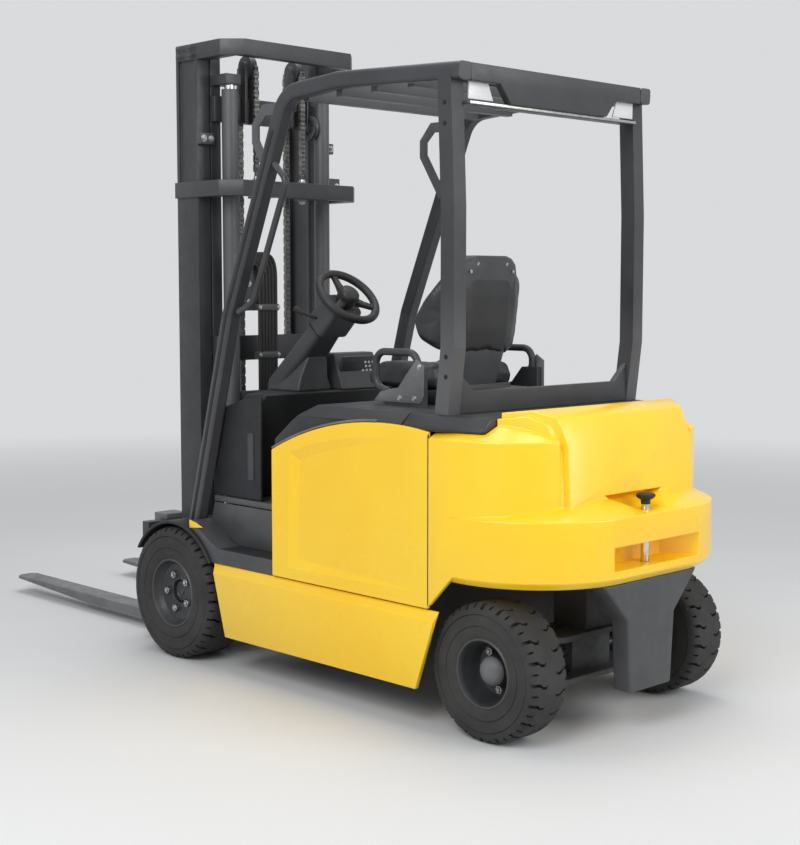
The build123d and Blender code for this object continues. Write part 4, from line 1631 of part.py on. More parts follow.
# Grab handle on the left leg of the guard
with BuildPart() as grab_handle:
    with BuildLine(side_plane(GUARD_MIDDLE_Y)) as handle:
        FilletPolyline(
            (HANDLE_TOP_X, HANDLE_TOP_Z),
            (HANDLE_TOP_X - HANDLE_REACH, HANDLE_TOP_Z - HANDLE_DROP),
            (HANDLE_FOOT_X - HANDLE_REACH, HANDLE_FOOT_Z + HANDLE_RISE),
            (HANDLE_FOOT_X, HANDLE_FOOT_Z),
            radius=HANDLE_BEND,
        )
    with BuildSketch(Plane(origin=handle.line @ 0, z_dir=handle.line % 0)):
        Circle(HANDLE_RADIUS)
    sweep(path=handle.line)
    add(guard_frames["left"], mode=Mode.SUBTRACT)
grab_handle.part.label = "grab_handle"
export_step(grab_handle.part, "parts/grab_handle.step")
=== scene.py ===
# %% [markdown]
# # An electric forklift, dressed in Blender
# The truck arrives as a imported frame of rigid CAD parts. Everything below paints those parts, adds the
# pieces that are too small, too soft or too bent for the CAD, and sets up one camera, a floor and soft light.

# %% The frame
import json
import math
import bpy
from mathutils import Matrix, Vector


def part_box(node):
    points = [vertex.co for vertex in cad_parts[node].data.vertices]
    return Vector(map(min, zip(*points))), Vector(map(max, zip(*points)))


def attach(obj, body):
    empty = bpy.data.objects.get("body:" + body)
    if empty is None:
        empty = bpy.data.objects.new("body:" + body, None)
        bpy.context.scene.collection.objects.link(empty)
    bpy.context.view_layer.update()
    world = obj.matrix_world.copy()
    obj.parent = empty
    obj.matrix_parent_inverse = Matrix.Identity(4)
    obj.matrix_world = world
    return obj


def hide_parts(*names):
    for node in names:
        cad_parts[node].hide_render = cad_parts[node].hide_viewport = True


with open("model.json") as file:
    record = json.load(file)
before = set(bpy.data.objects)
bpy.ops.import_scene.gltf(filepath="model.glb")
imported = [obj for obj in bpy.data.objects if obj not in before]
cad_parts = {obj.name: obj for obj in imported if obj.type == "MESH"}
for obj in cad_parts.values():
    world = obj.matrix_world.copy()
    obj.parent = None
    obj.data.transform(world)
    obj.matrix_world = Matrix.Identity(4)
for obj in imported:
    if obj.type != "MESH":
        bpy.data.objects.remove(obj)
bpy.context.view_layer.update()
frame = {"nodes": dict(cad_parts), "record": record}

CAD = frame["nodes"]

# %% [markdown]
# ## Camera
# The photograph looks at the left rear corner from about eye height. Place and lens were solved from the
# mast, the forks and the wheels, so no shift is needed. The long lens keeps the uprights nearly parallel.

# %% Camera
CAMERA_PLACE, CAMERA_TILT, CAMERA_TURN = (-4.566, 3.911, 1.443), 84.83, -134.15
LENS_MM, SENSOR_MM = 63.39, 36
bpy.ops.object.select_all(action="DESELECT")
bpy.ops.object.camera_add(location=CAMERA_PLACE,
                          rotation=(math.radians(CAMERA_TILT), 0, math.radians(CAMERA_TURN)))
camera = bpy.context.object
camera.data.lens = LENS_MM
camera.data.sensor_width = SENSOR_MM
bpy.context.scene.camera = camera
print("camera at", [round(v, 2) for v in camera.location])

# %% [markdown]
# ## Nodes for finishes
# Every finish is a small node tree. One function adds a node, gives it its settings and links or sets its
# inputs; another starts a finish with its shader and the object's own coordinates, which are in metres.

# %% Finish helpers
def linear(code):
    """A sRGB hex colour such as 'FFC81E' as linear RGBA."""
    parts = [int(code[i:i + 2], 16) / 255 for i in (0, 2, 4)]
    return [c / 12.92 if c <= 0.04045 else ((c + 0.055) / 1.055) ** 2.4 for c in parts] + [1.0]


def put(tree, kind, inputs=None, **settings):
    """Adds one node; an input is linked when it is given a socket and set when it is given a value."""
    made = tree.nodes.new(kind)
    for key, value in settings.items():
        setattr(made, key, value)
    for key, value in (inputs or {}).items():
        if isinstance(value, bpy.types.NodeSocket):
            tree.links.new(value, made.inputs[key])
        else:
            made.inputs[key].default_value = value
    return made


def finish(name, **sockets):
    """A new material with a Principled shader, its constant sockets set, and Object coordinates at hand."""
    made = bpy.data.materials.new(name)
    made.use_nodes = True
    tree = made.node_tree
    shader = tree.nodes["Principled BSDF"]
    for key, value in sockets.items():
        shader.inputs[key.replace("_", " ")].default_value = value
    coords = put(tree, "ShaderNodeTexCoord").outputs["Object"]
    return made, tree, shader, coords


def noise(tree, coords, mm, detail=2.0, rough=0.5):
    """Noise whose blobs are about so many millimetres across."""
    return put(tree, "ShaderNodeTexNoise", {"Vector": coords, "Scale": 1000 / mm, "Detail": detail,
                                            "Roughness": rough}).outputs["Fac"]


def spread(tree, value, low, high, start=0.3, stop=0.7):
    """Maps a value that runs from start to stop onto low to high."""
    return put(tree, "ShaderNodeMapRange", {"Value": value, "From Min": start, "From Max": stop,
                                            "To Min": low, "To Max": high}).outputs["Result"]


def mix(tree, factor, first, second):
    """Two colours, mixed by a factor."""
    return put(tree, "ShaderNodeMix", {0: factor, 6: first, 7: second}, data_type="RGBA").outputs[2]


def relief(tree, shader, height, depth_mm, strength=1.0):
    """Lets a height in 0..1 raise the surface by so many millimetres, for the light only."""
    bump = put(tree, "ShaderNodeBump", {"Height": height, "Distance": depth_mm / 1000, "Strength": strength})
    tree.links.new(bump.outputs["Normal"], shader.inputs["Normal"])


print("helpers ready")

# %% [markdown]
# ## Yellow paint
# The sheet-metal panels and the cast counterweight carry the same warm yellow two-pack enamel. On sheet it
# dries with a faint orange peel some 5 mm wide, on the casting with one of 7 mm. A clear, glossy top and a
# slow change of tone are what the eye reads as sprayed paint rather than plastic.

# %% Yellow enamel on sheet and on the casting
def yellow_enamel(name, peel_mm, peel_depth):
    made, tree, shader, coords = finish(name, Coat_Weight=0.35, Coat_Roughness=0.12, IOR=1.5)
    tone = spread(tree, noise(tree, coords, 420), 0.0, 1.0)
    tree.links.new(mix(tree, tone, linear("FFCC18"), linear("FFD426")), shader.inputs["Base Color"])
    tree.links.new(spread(tree, noise(tree, coords, 90, 1), 0.26, 0.36), shader.inputs["Roughness"])
    relief(tree, shader, noise(tree, coords, peel_mm, 1), peel_depth, 0.06)
    return made


SHEET_YELLOW = yellow_enamel("yellow enamel on sheet steel", 5, 0.04)
CAST_YELLOW = yellow_enamel("yellow enamel on cast iron", 7, 0.06)
print(SHEET_YELLOW.name, "/", CAST_YELLOW.name)

# %% [markdown]
# ## Charcoal powder coat
# Mast, guard, chassis and rims are powder coated: a satin charcoal with a pebbled skin about 1 mm wide,
# drawn at 2.5 mm here because finer would not show. Edges that hands and loads rub turn a little lighter.

# %% Charcoal and grey coats
def powder_coat(name, dark, light, rough_low, rough_high, pebble_mm=2.5, depth=0.08):
    made, tree, shader, coords = finish(name, IOR=1.5)
    tone = spread(tree, noise(tree, coords, 130, 4, 0.6), 0.0, 1.0)
    worn = put(tree, "ShaderNodeNewGeometry").outputs["Pointiness"]
    edge = spread(tree, worn, 0.0, 0.45, 0.53, 0.62)
    body = mix(tree, tone, linear(dark), linear(light))
    tree.links.new(mix(tree, edge, body, linear("6B6C6E")), shader.inputs["Base Color"])
    rough = spread(tree, noise(tree, coords, 35, 3), rough_low, rough_high)
    tree.links.new(rough, shader.inputs["Roughness"])
    relief(tree, shader, noise(tree, coords, pebble_mm, 1), depth, 0.6)
    return made


MAST_COAT = powder_coat("charcoal powder coat on mast steel", "2F3032", "3A3B3D", 0.36, 0.5)
GUARD_COAT = powder_coat("charcoal powder coat on bent tube", "303134", "393A3D", 0.38, 0.52)
RIM_COAT = powder_coat("satin grey coat on pressed rims", "2A2B2C", "353638", 0.36, 0.5)
FORK_COAT = powder_coat("grey primer on forged steel", "5F6062", "757678", 0.45, 0.65, 4.0, 0.15)
APRON_COAT = powder_coat("grey powder coat on plate", "3F4042", "4A4B4D", 0.42, 0.55)
SILL_COAT = powder_coat("grey powder coat on floor plate", "3E3F41", "4C4D4F", 0.42, 0.58)
AXLE_COAT = powder_coat("black paint on rough castings", "1C1D1E", "2A2A2B", 0.45, 0.7, 6.0, 0.35)
print("coats:", len(bpy.data.materials))

# %% [markdown]
# ## Moulded plastics, rubber and vinyl
# Cowl, column, console and hood are injection moulded with an etched leather grain of about 1.5 mm, drawn
# at 3 mm. Tyres are solid rubber, greyed by dust in the pores. The seat wears black vinyl, grained deeper.

# %% Plastics, rubber and vinyl
def grained(name, dark, light, rough_low, rough_high, grain_mm, depth):
    made, tree, shader, coords = finish(name, IOR=1.48)
    tone = spread(tree, noise(tree, coords, 150, 3), 0.0, 1.0)
    tree.links.new(mix(tree, tone, linear(dark), linear(light)), shader.inputs["Base Color"])
    rough = spread(tree, noise(tree, coords, 40, 3), rough_low, rough_high)
    tree.links.new(rough, shader.inputs["Roughness"])
    cells = put(tree, "ShaderNodeTexVoronoi", {"Vector": coords, "Scale": 1000 / grain_mm},
                feature="SMOOTH_F1")
    relief(tree, shader, cells.outputs["Distance"], depth, 0.7)
    return made


# The cowl plastic, used also on battery, fenders and the cowl wings, is black drawn darker still: painted
# shade for the cowl's driver-side face, which lies in shadow.
COWL_PLASTIC = grained("grained black ABS darkened as painted shade", "1B1C1D", "242526", 0.48, 0.6, 3.0, 0.12)
COVER_PLASTIC = grained("grained charcoal cover", "3A3B3D", "454648", 0.45, 0.58, 3.0, 0.12)
HOOD_PLASTIC = grained("grained black polyurethane cover", "26272A", "2F3032", 0.42, 0.55, 3.5, 0.12)
TYRE_RUBBER = grained("solid tyre rubber", "2A2A2A", "383837", 0.72, 0.88, 5.0, 0.25)
SEAT_VINYL = grained("black seat vinyl", "242527", "2E2F31", 0.42, 0.55, 4.0, 0.3)
PALE_PLASTIC = grained("pale translucent acrylic", "D6D7D8", "E6E7E7", 0.25, 0.4, 6.0, 0.02)
GRIP_RUBBER = grained("soft black grip rubber", "1A1A1B", "242425", 0.5, 0.65, 2.5, 0.08)
print("moulded finishes ready")

# %% [markdown]
# ## Bare metals
# Piston rods are ground and chrome plated. Chains are oiled steel, and bolts are zinc plated and dull
# silver.

# %% Bare metals
def bare_metal(name, dark, light, rough_low, rough_high, grain_mm, depth):
    made, tree, shader, coords = finish(name, Metallic=1.0)
    tone = spread(tree, noise(tree, coords, 25, 4), 0.0, 1.0)
    tree.links.new(mix(tree, tone, linear(dark), linear(light)), shader.inputs["Base Color"])
    rough = spread(tree, noise(tree, coords, 12, 3), rough_low, rough_high)
    tree.links.new(rough, shader.inputs["Roughness"])
    relief(tree, shader, noise(tree, coords, grain_mm, 2), depth, 0.5)
    return made


CHROME = bare_metal("ground chrome plate", "C9CACC", "DCDDDF", 0.08, 0.16, 2.0, 0.01)
CHAIN_STEEL = bare_metal("oiled chain steel", "6C6C6B", "8C8B88", 0.3, 0.45, 3.0, 0.05)
ZINC = bare_metal("zinc plated fasteners", "A9AAA8", "C6C6C2", 0.25, 0.4, 2.0, 0.03)
print("metals ready, materials:", len(bpy.data.materials))

# %% [markdown]
# ## Paint on the CAD nodes
# Where a CAD part has the right shape already it only needs its finish, so each node is handed a material.

# %% Finishes for the CAD nodes
PAINT = {
    SHEET_YELLOW: ["left_skirt", "right_skirt", "left_side_panel", "right_side_panel"],
    CAST_YELLOW: ["counterweight"],
    MAST_COAT: ["outer_mast", "inner_mast", "lift_barrels", "carriage", "left_tilt_barrel",
                "right_tilt_barrel"],
    GUARD_COAT: ["left_guard_frame", "right_guard_frame", "guard_header", "guard_slats", "guard_beam",
                 "lamp_brackets", "grab_handle", "hip_restraints"],
    RIM_COAT: ["front_left_rim", "front_right_rim", "rear_left_rim", "rear_right_rim"],
    FORK_COAT: ["left_fork", "right_fork"],
    APRON_COAT: ["apron"],
    SILL_COAT: ["floor_plate", "chassis_frame", "seat_box_front"],
    AXLE_COAT: ["drive_axle", "steer_axle", "left_knuckle", "right_knuckle"],
    COWL_PLASTIC: ["cowl", "battery", "fenders"],
    COVER_PLASTIC: ["steering_column", "side_console", "seat_shell"],
    HOOD_PLASTIC: ["battery_hood", "rear_cover"],
    TYRE_RUBBER: ["front_left_tyre", "front_right_tyre", "rear_left_tyre", "rear_right_tyre"],
    SEAT_VINYL: ["seat_cushion", "seat_back"],
    GRIP_RUBBER: ["steering_wheel"],
    CHROME: ["steer_rod", "lift_rods", "left_tilt_rod", "right_tilt_rod", "tow_pin"],
    CHAIN_STEEL: ["front_chains", "rear_chains"],
}
for coat, names in PAINT.items():
    for name in names:
        CAD[name].data.materials.clear()
        CAD[name].data.materials.append(coat)
unpainted = set(CAD) - {name for names in PAINT.values() for name in names}
print("painted", len(CAD) - len(unpainted), "nodes, left over:", sorted(unpainted))

# %% [markdown]
# ## Working by hand
# New pieces start as an outline pulled point by point in edit mode, or as a primitive, and are then spun,
# extruded, bevelled or cut. A few helpers keep that short: trace an outline, spin it, copy a finished shape,
# cut with another shape, and settle a piece with its finish on the body that carries it.

# %% Modelling helpers
def deselect():
    bpy.ops.object.select_all(action="DESELECT")


def select_mesh():
    bpy.ops.mesh.select_all(action="SELECT")


def edit():
    bpy.ops.object.mode_set(mode="EDIT")


def done():
    bpy.ops.object.mode_set(mode="OBJECT")
    return bpy.context.object


def only(obj):
    """Selects one object alone and makes it active."""
    deselect()
    obj.select_set(True)
    bpy.context.view_layer.objects.active = obj


def trace(points, face=True):
    """Merges a new plane into one corner and pulls it along the points; face=True closes and fills it."""
    deselect()
    bpy.ops.mesh.primitive_plane_add(size=0.01, location=(0, 0, 0))
    edit()
    bpy.ops.mesh.select_mode(type="VERT")
    bpy.ops.mesh.merge(type="CENTER")
    bpy.ops.transform.translate(value=points[0])
    for start, stop in zip(points, points[1:]):
        step = Vector(stop) - Vector(start)
        bpy.ops.mesh.extrude_region_move(TRANSFORM_OT_translate={"value": step})
    select_mesh()
    if face:
        bpy.ops.mesh.edge_face_add()
    return bpy.context.object


def pull(step):
    """Extrudes what is selected by one step, and turns the faces outwards."""
    bpy.ops.mesh.extrude_region_move(TRANSFORM_OT_translate={"value": step})
    select_mesh()
    bpy.ops.mesh.normals_make_consistent(inside=False)


def plate(points, step):
    """A flat outline, filled and extruded to a plate."""
    trace(points)
    pull(step)
    return done()


def lathe(points, centre, axis, steps=96):
    """An open or closed outline turned once round an axis and merged."""
    trace(points, face=False)
    bpy.ops.mesh.spin(steps=steps, angle=math.tau, center=centre, axis=axis)
    select_mesh()
    bpy.ops.mesh.remove_doubles(threshold=0.00002)
    bpy.ops.mesh.normals_make_consistent(inside=False)
    return done()


def modify(obj, kind, **settings):
    """Adds a modifier, gives it its settings and applies it."""
    only(obj)
    step = obj.modifiers.new(kind.lower(), kind)
    for key, value in settings.items():
        setattr(step, key, value)
    bpy.ops.object.modifier_apply(modifier=step.name)
    return obj


def soften(obj, mm, segments=2, angle=35):
    """Rounds the edges that are sharper than an angle."""
    return modify(obj, "BEVEL", width=mm / 1000, segments=segments, limit_method="ANGLE",
                  angle_limit=math.radians(angle), use_clamp_overlap=False)


def cut(obj, cutter):
    """Takes one shape out of another, and drops the cutter."""
    modify(obj, "BOOLEAN", operation="DIFFERENCE", solver="EXACT", object=cutter)
    bpy.data.objects.remove(cutter)
    return obj


def copies(obj, moves):
    """One copy of a shape for each move, each with its own mesh; the shape itself goes away."""
    made = []
    for move in moves:
        twin = obj.copy()
        twin.data = obj.data.copy()
        twin.data.transform(move)
        if move.determinant() < 0:
            twin.data.flip_normals()
        bpy.context.collection.objects.link(twin)
        made.append(twin)
    bpy.data.objects.remove(obj)
    return made


def joined(parts):
    """Several shapes as one mesh."""
    deselect()
    for part in parts:
        part.select_set(True)
    bpy.context.view_layer.objects.active = parts[0]
    bpy.ops.object.join()
    return parts[0]


def settle(obj, name, coat, body, angle=35):
    """Names a finished shape, paints it, smooths what is rounder than the angle and lets it ride."""
    only(obj)
    bpy.ops.object.transform_apply(location=True, rotation=True, scale=True)
    obj.name = name
    obj.data.materials.clear()
    obj.data.materials.append(coat)
    bpy.ops.object.shade_smooth_by_angle(angle=math.radians(angle))
    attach(obj, body)
    return obj


def turned(axis, degrees, about=(0, 0, 0)):
    """A turn round an axis through a point, as a matrix."""
    there = Matrix.Translation(about)
    return there @ Matrix.Rotation(math.radians(degrees), 4, axis) @ there.inverted()


moved = Matrix.Translation
mirrored = Matrix.Scale(-1, 4, (0, 1, 0))


def both_hands(obj):
    """A shape and its mirror image across the middle plane, as one mesh."""
    return joined(copies(obj, [Matrix.Identity(4), mirrored]))


def bisected(obj, point, normal):
    """Cuts a closed shape by a plane, drops the side that the normal points to and closes the cut."""
    only(obj)
    edit()
    select_mesh()
    bpy.ops.mesh.bisect(plane_co=point, plane_no=normal, use_fill=True, clear_outer=True)
    return done()


print("modelling helpers ready")

# %% [markdown]
# ## Rounded edges
# No casting, pressing or moulding has razor edges: on a moulded cover they are rounded by 5 to 10 mm, on
# steel by 2 to 4. A copy of the CAD part is merged, its flat faces are joined again and the sharp edges
# are bevelled; the copy then stands for the part. The thin line of light along such an edge makes it look
# made.

# %% Rounded copies of the CAD parts
BODY_OF = {node: body for body, nodes in frame["record"]["behaviour"]["bodies"].items() for node in nodes}


def twin_of(node):
    """A merged copy of a CAD part's mesh, with its flat faces whole again."""
    twin = bpy.data.objects.new(node, CAD[node].data.copy())
    bpy.context.collection.objects.link(twin)
    only(twin)
    edit()
    select_mesh()
    bpy.ops.mesh.remove_doubles(threshold=0.00005)
    bpy.ops.mesh.dissolve_limited(angle_limit=math.radians(2))
    return done()


def stand_in(twin, node, angle=40):
    """Paints a shape as the CAD part was painted and lets it stand for that part."""
    settle(twin, f"{node}_rounded", CAD[node].data.materials[0], BODY_OF[node], angle)
    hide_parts(node)
    print(twin.name, "faces", len(twin.data.polygons))


ROUNDING = {"battery_hood": 5, "rear_cover": 8, "cowl": 9, "steering_column": 10, "side_console": 8,
            "apron": 9, "floor_plate": 4, "fenders": 3, "guard_header": 4, "guard_beam": 3,
            "left_fork": 3, "right_fork": 3, "counterweight": 3, "outer_mast": 2.5, "inner_mast": 2,
            "carriage": 2.5}
for node, mm in ROUNDING.items():
    stand_in(soften(twin_of(node), mm, 3, 28), node)

# %% [markdown]
# ## Tyres
# The truck runs on solid industrial tyres. Sidewalls carry moulded rings, and wavy grooves run in from both
# shoulders, half a pitch apart, with a straight notch between. The carcass is a lathe of the half section;
# one groove is drawn as a ribbon, pulled into a block, copied round and cut out, which leaves true slots.

# %% Tyre carcass and grooves
def tyre_shape(radius, half, bead, pitches, rings):
    """A tyre round the Y axis at the origin, its outer side towards +Y."""
    side = [(bead, half - 24), (bead + 5, half - 9), (bead + 14, half - 3)]
    for ring in rings:
        side += [(ring - 2.5, half - 1.2), (ring, half - 4.0), (ring + 2.5, half - 0.8)]
    side += [(radius - 34, half), (radius - 17, half - 3), (radius - 6, half - 11), (radius - 1.5, half - 22),
             (radius, half - 34), (radius, half - 60)]
    loop = [(r, y) for r, y in side] + [(r, -y) for r, y in reversed(side)]
    loop.append(loop[0])
    carcass = lathe([(r / 1000, y / 1000, 0) for r, y in loop], (0, 0, 0), (0, 1, 0), 120)
    wave = [(half + 6, 0), (half - 30, 0), (half - 42, 10), (half - 58, 12), (half - 66, 3)]
    width = [6.2, 5.6, 4.6, 4.0, 2.6]
    ribbon = [(y, t + w) for (y, t), w in zip(wave, width)]
    ribbon += [(y, t - w) for (y, t), w in reversed(list(zip(wave, width)))]
    groove = plate([((radius - 18) / 1000, y / 1000, t / 1000) for y, t in ribbon], (0.04, 0, 0))
    notch = plate([((radius - 14) / 1000, y / 1000, t / 1000) for y, t in
                   ((half + 6, -4), (half - 24, -3.4), (half - 24, 3.4), (half + 6, 4))], (0.04, 0, 0))
    step = 360 / pitches
    turns = [turned("Y", step * i) for i in range(pitches)]
    other = [turned("Y", step * (i + 0.5)) @ mirrored for i in range(pitches)]
    cutters = copies(groove, turns + other)
    between = turned("Y", step / 2)
    cutters += copies(notch, [between @ turn for turn in turns + other])
    return cut(carcass, joined(cutters))


FRONT_HUB, REAR_HUB = (0.165, 0.467, 0.257), (-1.43, 0.427, 0.225)
WHEELS = {"front": (FRONT_HUB, tyre_shape(257, 100, 129.5, 22, (176, 221))),
          "rear": (REAR_HUB, tyre_shape(225, 85, 109, 20, (152, 190)))}
for end, (hub, shape) in WHEELS.items():
    right = mirrored @ moved(hub) @ turned("Y", 4)
    for hand, piece in zip(("left", "right"), copies(shape, [moved(hub), right])):
        name = f"{end}_{hand}"
        settle(piece, f"{name}_solid_tyre", TYRE_RUBBER, f"{name}_wheel")
        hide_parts(f"{name}_tyre")
        print(piece.name, "faces", len(piece.data.polygons))

# %% [markdown]
# ## Rims, nuts and hubs
# Each rim is a pressed steel drum with a rolled lip and a deep dished disc. The driven front wheel shows the
# end of its planetary hub inside a ring of zinc wheel nuts; the rear one hides its bearing under a domed cap.

# %% Rims and hubs
def rim_shape(rim, half, dish, hub):
    """A rim round the Y axis with its open side towards +Y: rolled lip, drum, disc and hub end."""
    section = [(rim - 2, -half + 26), (rim, half - 22), (rim + 6, half - 13), (rim + 7, half - 9),
               (rim + 4, half - 6), (rim - 1, half - 7), (rim - 5, half - 14), (rim - 9, half - 24),
               (rim - 12, dish + 16), (rim - 20, dish + 4), (rim - 32, dish), (hub[0][0] + 8, dish - 3)] + hub
    return lathe([(r / 1000, y / 1000, 0) for r, y in section], (0, 0, 0), (0, 1, 0), 72)


def wheel_nut(size, height):
    """A hexagon nut on its flange with the stud's end standing in it, along +Y at the origin."""
    deselect()
    bpy.ops.mesh.primitive_cylinder_add(vertices=6, radius=size, depth=height, location=(0, height / 2, 0),
                                        rotation=(-math.pi / 2, 0, 0))
    edit()
    bpy.ops.mesh.select_mode(type="FACE")
    bpy.ops.mesh.select_all(action="DESELECT")
    done()
    nut = bpy.context.object
    for face in nut.data.polygons:
        face.select = face.normal.z > 0.9
    edit()
    bpy.ops.mesh.inset(thickness=size * 0.32, depth=0)
    bpy.ops.mesh.extrude_region_move(TRANSFORM_OT_translate={"value": (0, -height * 0.35, 0)})
    bpy.ops.mesh.inset(thickness=size * 0.1, depth=0)
    bpy.ops.mesh.extrude_region_move(TRANSFORM_OT_translate={"value": (0, height * 0.6, 0)})
    done()
    bpy.ops.object.transform_apply(location=True, rotation=True, scale=True)
    return soften(nut, size * 60, 1)


HUB_ENDS = {
    "front": [(52, 53), (47, 52), (45, 32), (41, 30), (38, 44), (30, 46), (27, 43), (14, 44), (12, 47),
              (0, 47.5)],
    "rear": [(52, 8), (49, 24), (46, 33), (41, 42), (33, 49), (22, 54), (11, 57), (0, 58)],
}
RIM_SIZES = {"front": (128, 100, 56), "rear": (107, 85, -12)}
NUT_CIRCLE = {"front": (0.069, 0.053, 5, 3), "rear": (0.066, -0.0145, 5, 20)}
for end, (hub, _) in WHEELS.items():
    radius, seat, count, first = NUT_CIRCLE[end]
    nut = wheel_nut(0.0145, 0.017)
    places = [turned("Y", first + 360 / count * i) @ moved((radius, seat, 0)) for i in range(count)]
    ring = copies(nut, places)
    sides = [moved(hub), mirrored @ moved(hub)]
    for hand, rim, nuts in zip(("left", "right"), copies(rim_shape(*RIM_SIZES[end], HUB_ENDS[end]), sides),
                               copies(joined(ring), sides)):
        name = f"{end}_{hand}"
        settle(rim, f"{name}_pressed_rim", RIM_COAT, f"{name}_wheel")
        settle(nuts, f"{name}_wheel_nuts", ZINC, f"{name}_wheel")
        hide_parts(f"{name}_rim")
        print(name, "rim faces", len(rim.data.polygons), "nuts", count)

# %% [markdown]
# ## The seat
# The driver's seat is foam under black vinyl: a backrest with deep side bolsters that reach forward round the
# driver, and a cushion with a rounded nose, both in front of a hard moulded shell. Each pad is lofted from a
# few side profiles, remeshed, and blown up a little as cloth, so that the vinyl pulls round and tight.

# %% Padding helpers
def loft(sections):
    """Closed outlines of equal count, bridged one to the next, with both ends filled."""
    loops = []
    for section in sections:
        trace(list(section) + [section[0]], face=False)
        bpy.ops.mesh.remove_doubles(threshold=0.00002)
        loops.append(done())
    count = len(sections[0])
    body = joined(loops)
    for i in range(len(sections) - 1):
        for corner in body.data.vertices:
            corner.select = count * i <= corner.index < count * (i + 2)
        edit()
        bpy.ops.mesh.bridge_edge_loops()
        bpy.ops.mesh.select_all(action="DESELECT")
        done()
    for i in (0, len(sections) - 1):
        for corner in body.data.vertices:
            corner.select = count * i <= corner.index < count * (i + 1)
        edit()
        bpy.ops.mesh.edge_face_add()
        bpy.ops.mesh.select_all(action="DESELECT")
        done()
    edit()
    select_mesh()
    bpy.ops.mesh.normals_make_consistent(inside=False)
    return done()


def inflate(obj, cap_mm, pressure=4.0):
    """Remeshes a pad, blows it up as cloth for 20 frames and keeps each point within the cap."""
    modify(obj, "REMESH", mode="VOXEL", voxel_size=0.006, use_smooth_shade=True)
    modify(obj, "SMOOTH", factor=0.5, iterations=6)
    rest = [v.co.copy() for v in obj.data.vertices]
    only(obj)
    puff = obj.modifiers.new("puff", "CLOTH")
    puff.settings.use_pressure = True
    puff.settings.uniform_pressure_force = pressure
    puff.settings.effector_weights.gravity = 0
    for frame_number in range(1, 21):
        bpy.context.scene.frame_set(frame_number)
    bpy.ops.object.modifier_apply(modifier=puff.name)
    bpy.context.scene.frame_set(1)
    for corner, start in zip(obj.data.vertices, rest):
        step = corner.co - start
        if step.length > cap_mm / 1000:
            corner.co = start + step * (cap_mm / 1000 / step.length)
    return modify(obj, "SMOOTH", factor=0.5, iterations=3)


print("padding helpers ready")

# %% Backrest and cushion
def side_profile(y, points):
    """A list of (x, z) in millimetres as points in metres, all at one y."""
    return [(x / 1000, y / 1000, z / 1000) for x, z in points]


BACK_MIDDLE = [(-962, 1195), (-980, 1300), (-990, 1420), (-992, 1500), (-985, 1532), (-966, 1536),
               (-950, 1500), (-932, 1420), (-915, 1320), (-912, 1220)]
BACK_SHOULDER = [(-950, 1200), (-968, 1300), (-982, 1420), (-986, 1490), (-980, 1522), (-962, 1526),
                 (-935, 1490), (-896, 1430), (-858, 1340), (-872, 1240)]
BACK_BOLSTER = [(-925, 1225), (-938, 1290), (-950, 1390), (-958, 1455), (-955, 1482), (-938, 1486),
                (-912, 1458), (-868, 1410), (-818, 1335), (-842, 1262)]
BACK_END = [(-900, 1262), (-905, 1300), (-912, 1360), (-920, 1400), (-918, 1420), (-908, 1424), (-890, 1404),
            (-868, 1370), (-842, 1330), (-855, 1284)]
ribs = [(-226, BACK_END), (-196, BACK_BOLSTER), (-142, BACK_SHOULDER), (-95, BACK_MIDDLE), (0, BACK_MIDDLE),
        (95, BACK_MIDDLE), (142, BACK_SHOULDER), (196, BACK_BOLSTER), (226, BACK_END)]
backrest = inflate(loft([side_profile(y, points) for y, points in ribs]), 9)
modify(backrest, "SUBSURF", levels=1, render_levels=1)
settle(backrest, "seat_backrest_pad", SEAT_VINYL, "hood", 60)
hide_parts("seat_back")
print("backrest faces", len(backrest.data.polygons))

SEAT_MIDDLE = [(-925, 1096), (-930, 1130), (-915, 1156), (-820, 1150), (-700, 1152), (-610, 1158),
               (-572, 1146), (-562, 1122), (-572, 1098), (-740, 1092)]
SEAT_SIDE = [(-920, 1096), (-925, 1136), (-905, 1170), (-820, 1174), (-700, 1174), (-620, 1168), (-585, 1150),
             (-574, 1122), (-584, 1098), (-740, 1092)]
SEAT_END = [(-900, 1104), (-905, 1130), (-890, 1150), (-820, 1152), (-700, 1152), (-630, 1148), (-606, 1138),
            (-598, 1122), (-606, 1104), (-740, 1100)]
ribs = [(-224, SEAT_END), (-196, SEAT_SIDE), (-140, SEAT_SIDE), (-110, SEAT_MIDDLE), (0, SEAT_MIDDLE),
        (110, SEAT_MIDDLE), (140, SEAT_SIDE), (196, SEAT_SIDE), (224, SEAT_END)]
cushion = inflate(loft([side_profile(y, points) for y, points in ribs]), 8)
modify(cushion, "SUBSURF", levels=1, render_levels=1)
settle(cushion, "seat_cushion_pad", SEAT_VINYL, "hood", 60)
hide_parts("seat_cushion")
print("cushion faces", len(cushion.data.polygons))

# %% [markdown]
# ## Lift chains
# A leaf chain is flat steel plates, laced three against four on pins, with no rollers. Two pitches are made
# from a single cut-cornered leaf, and repeated down the run; the pins' heads show at the sides.

# %% Leaf chains
TWO_PITCHES, LEAF_THICKNESS, CHAIN_INSET = 0.0381, 0.0027, 0.013


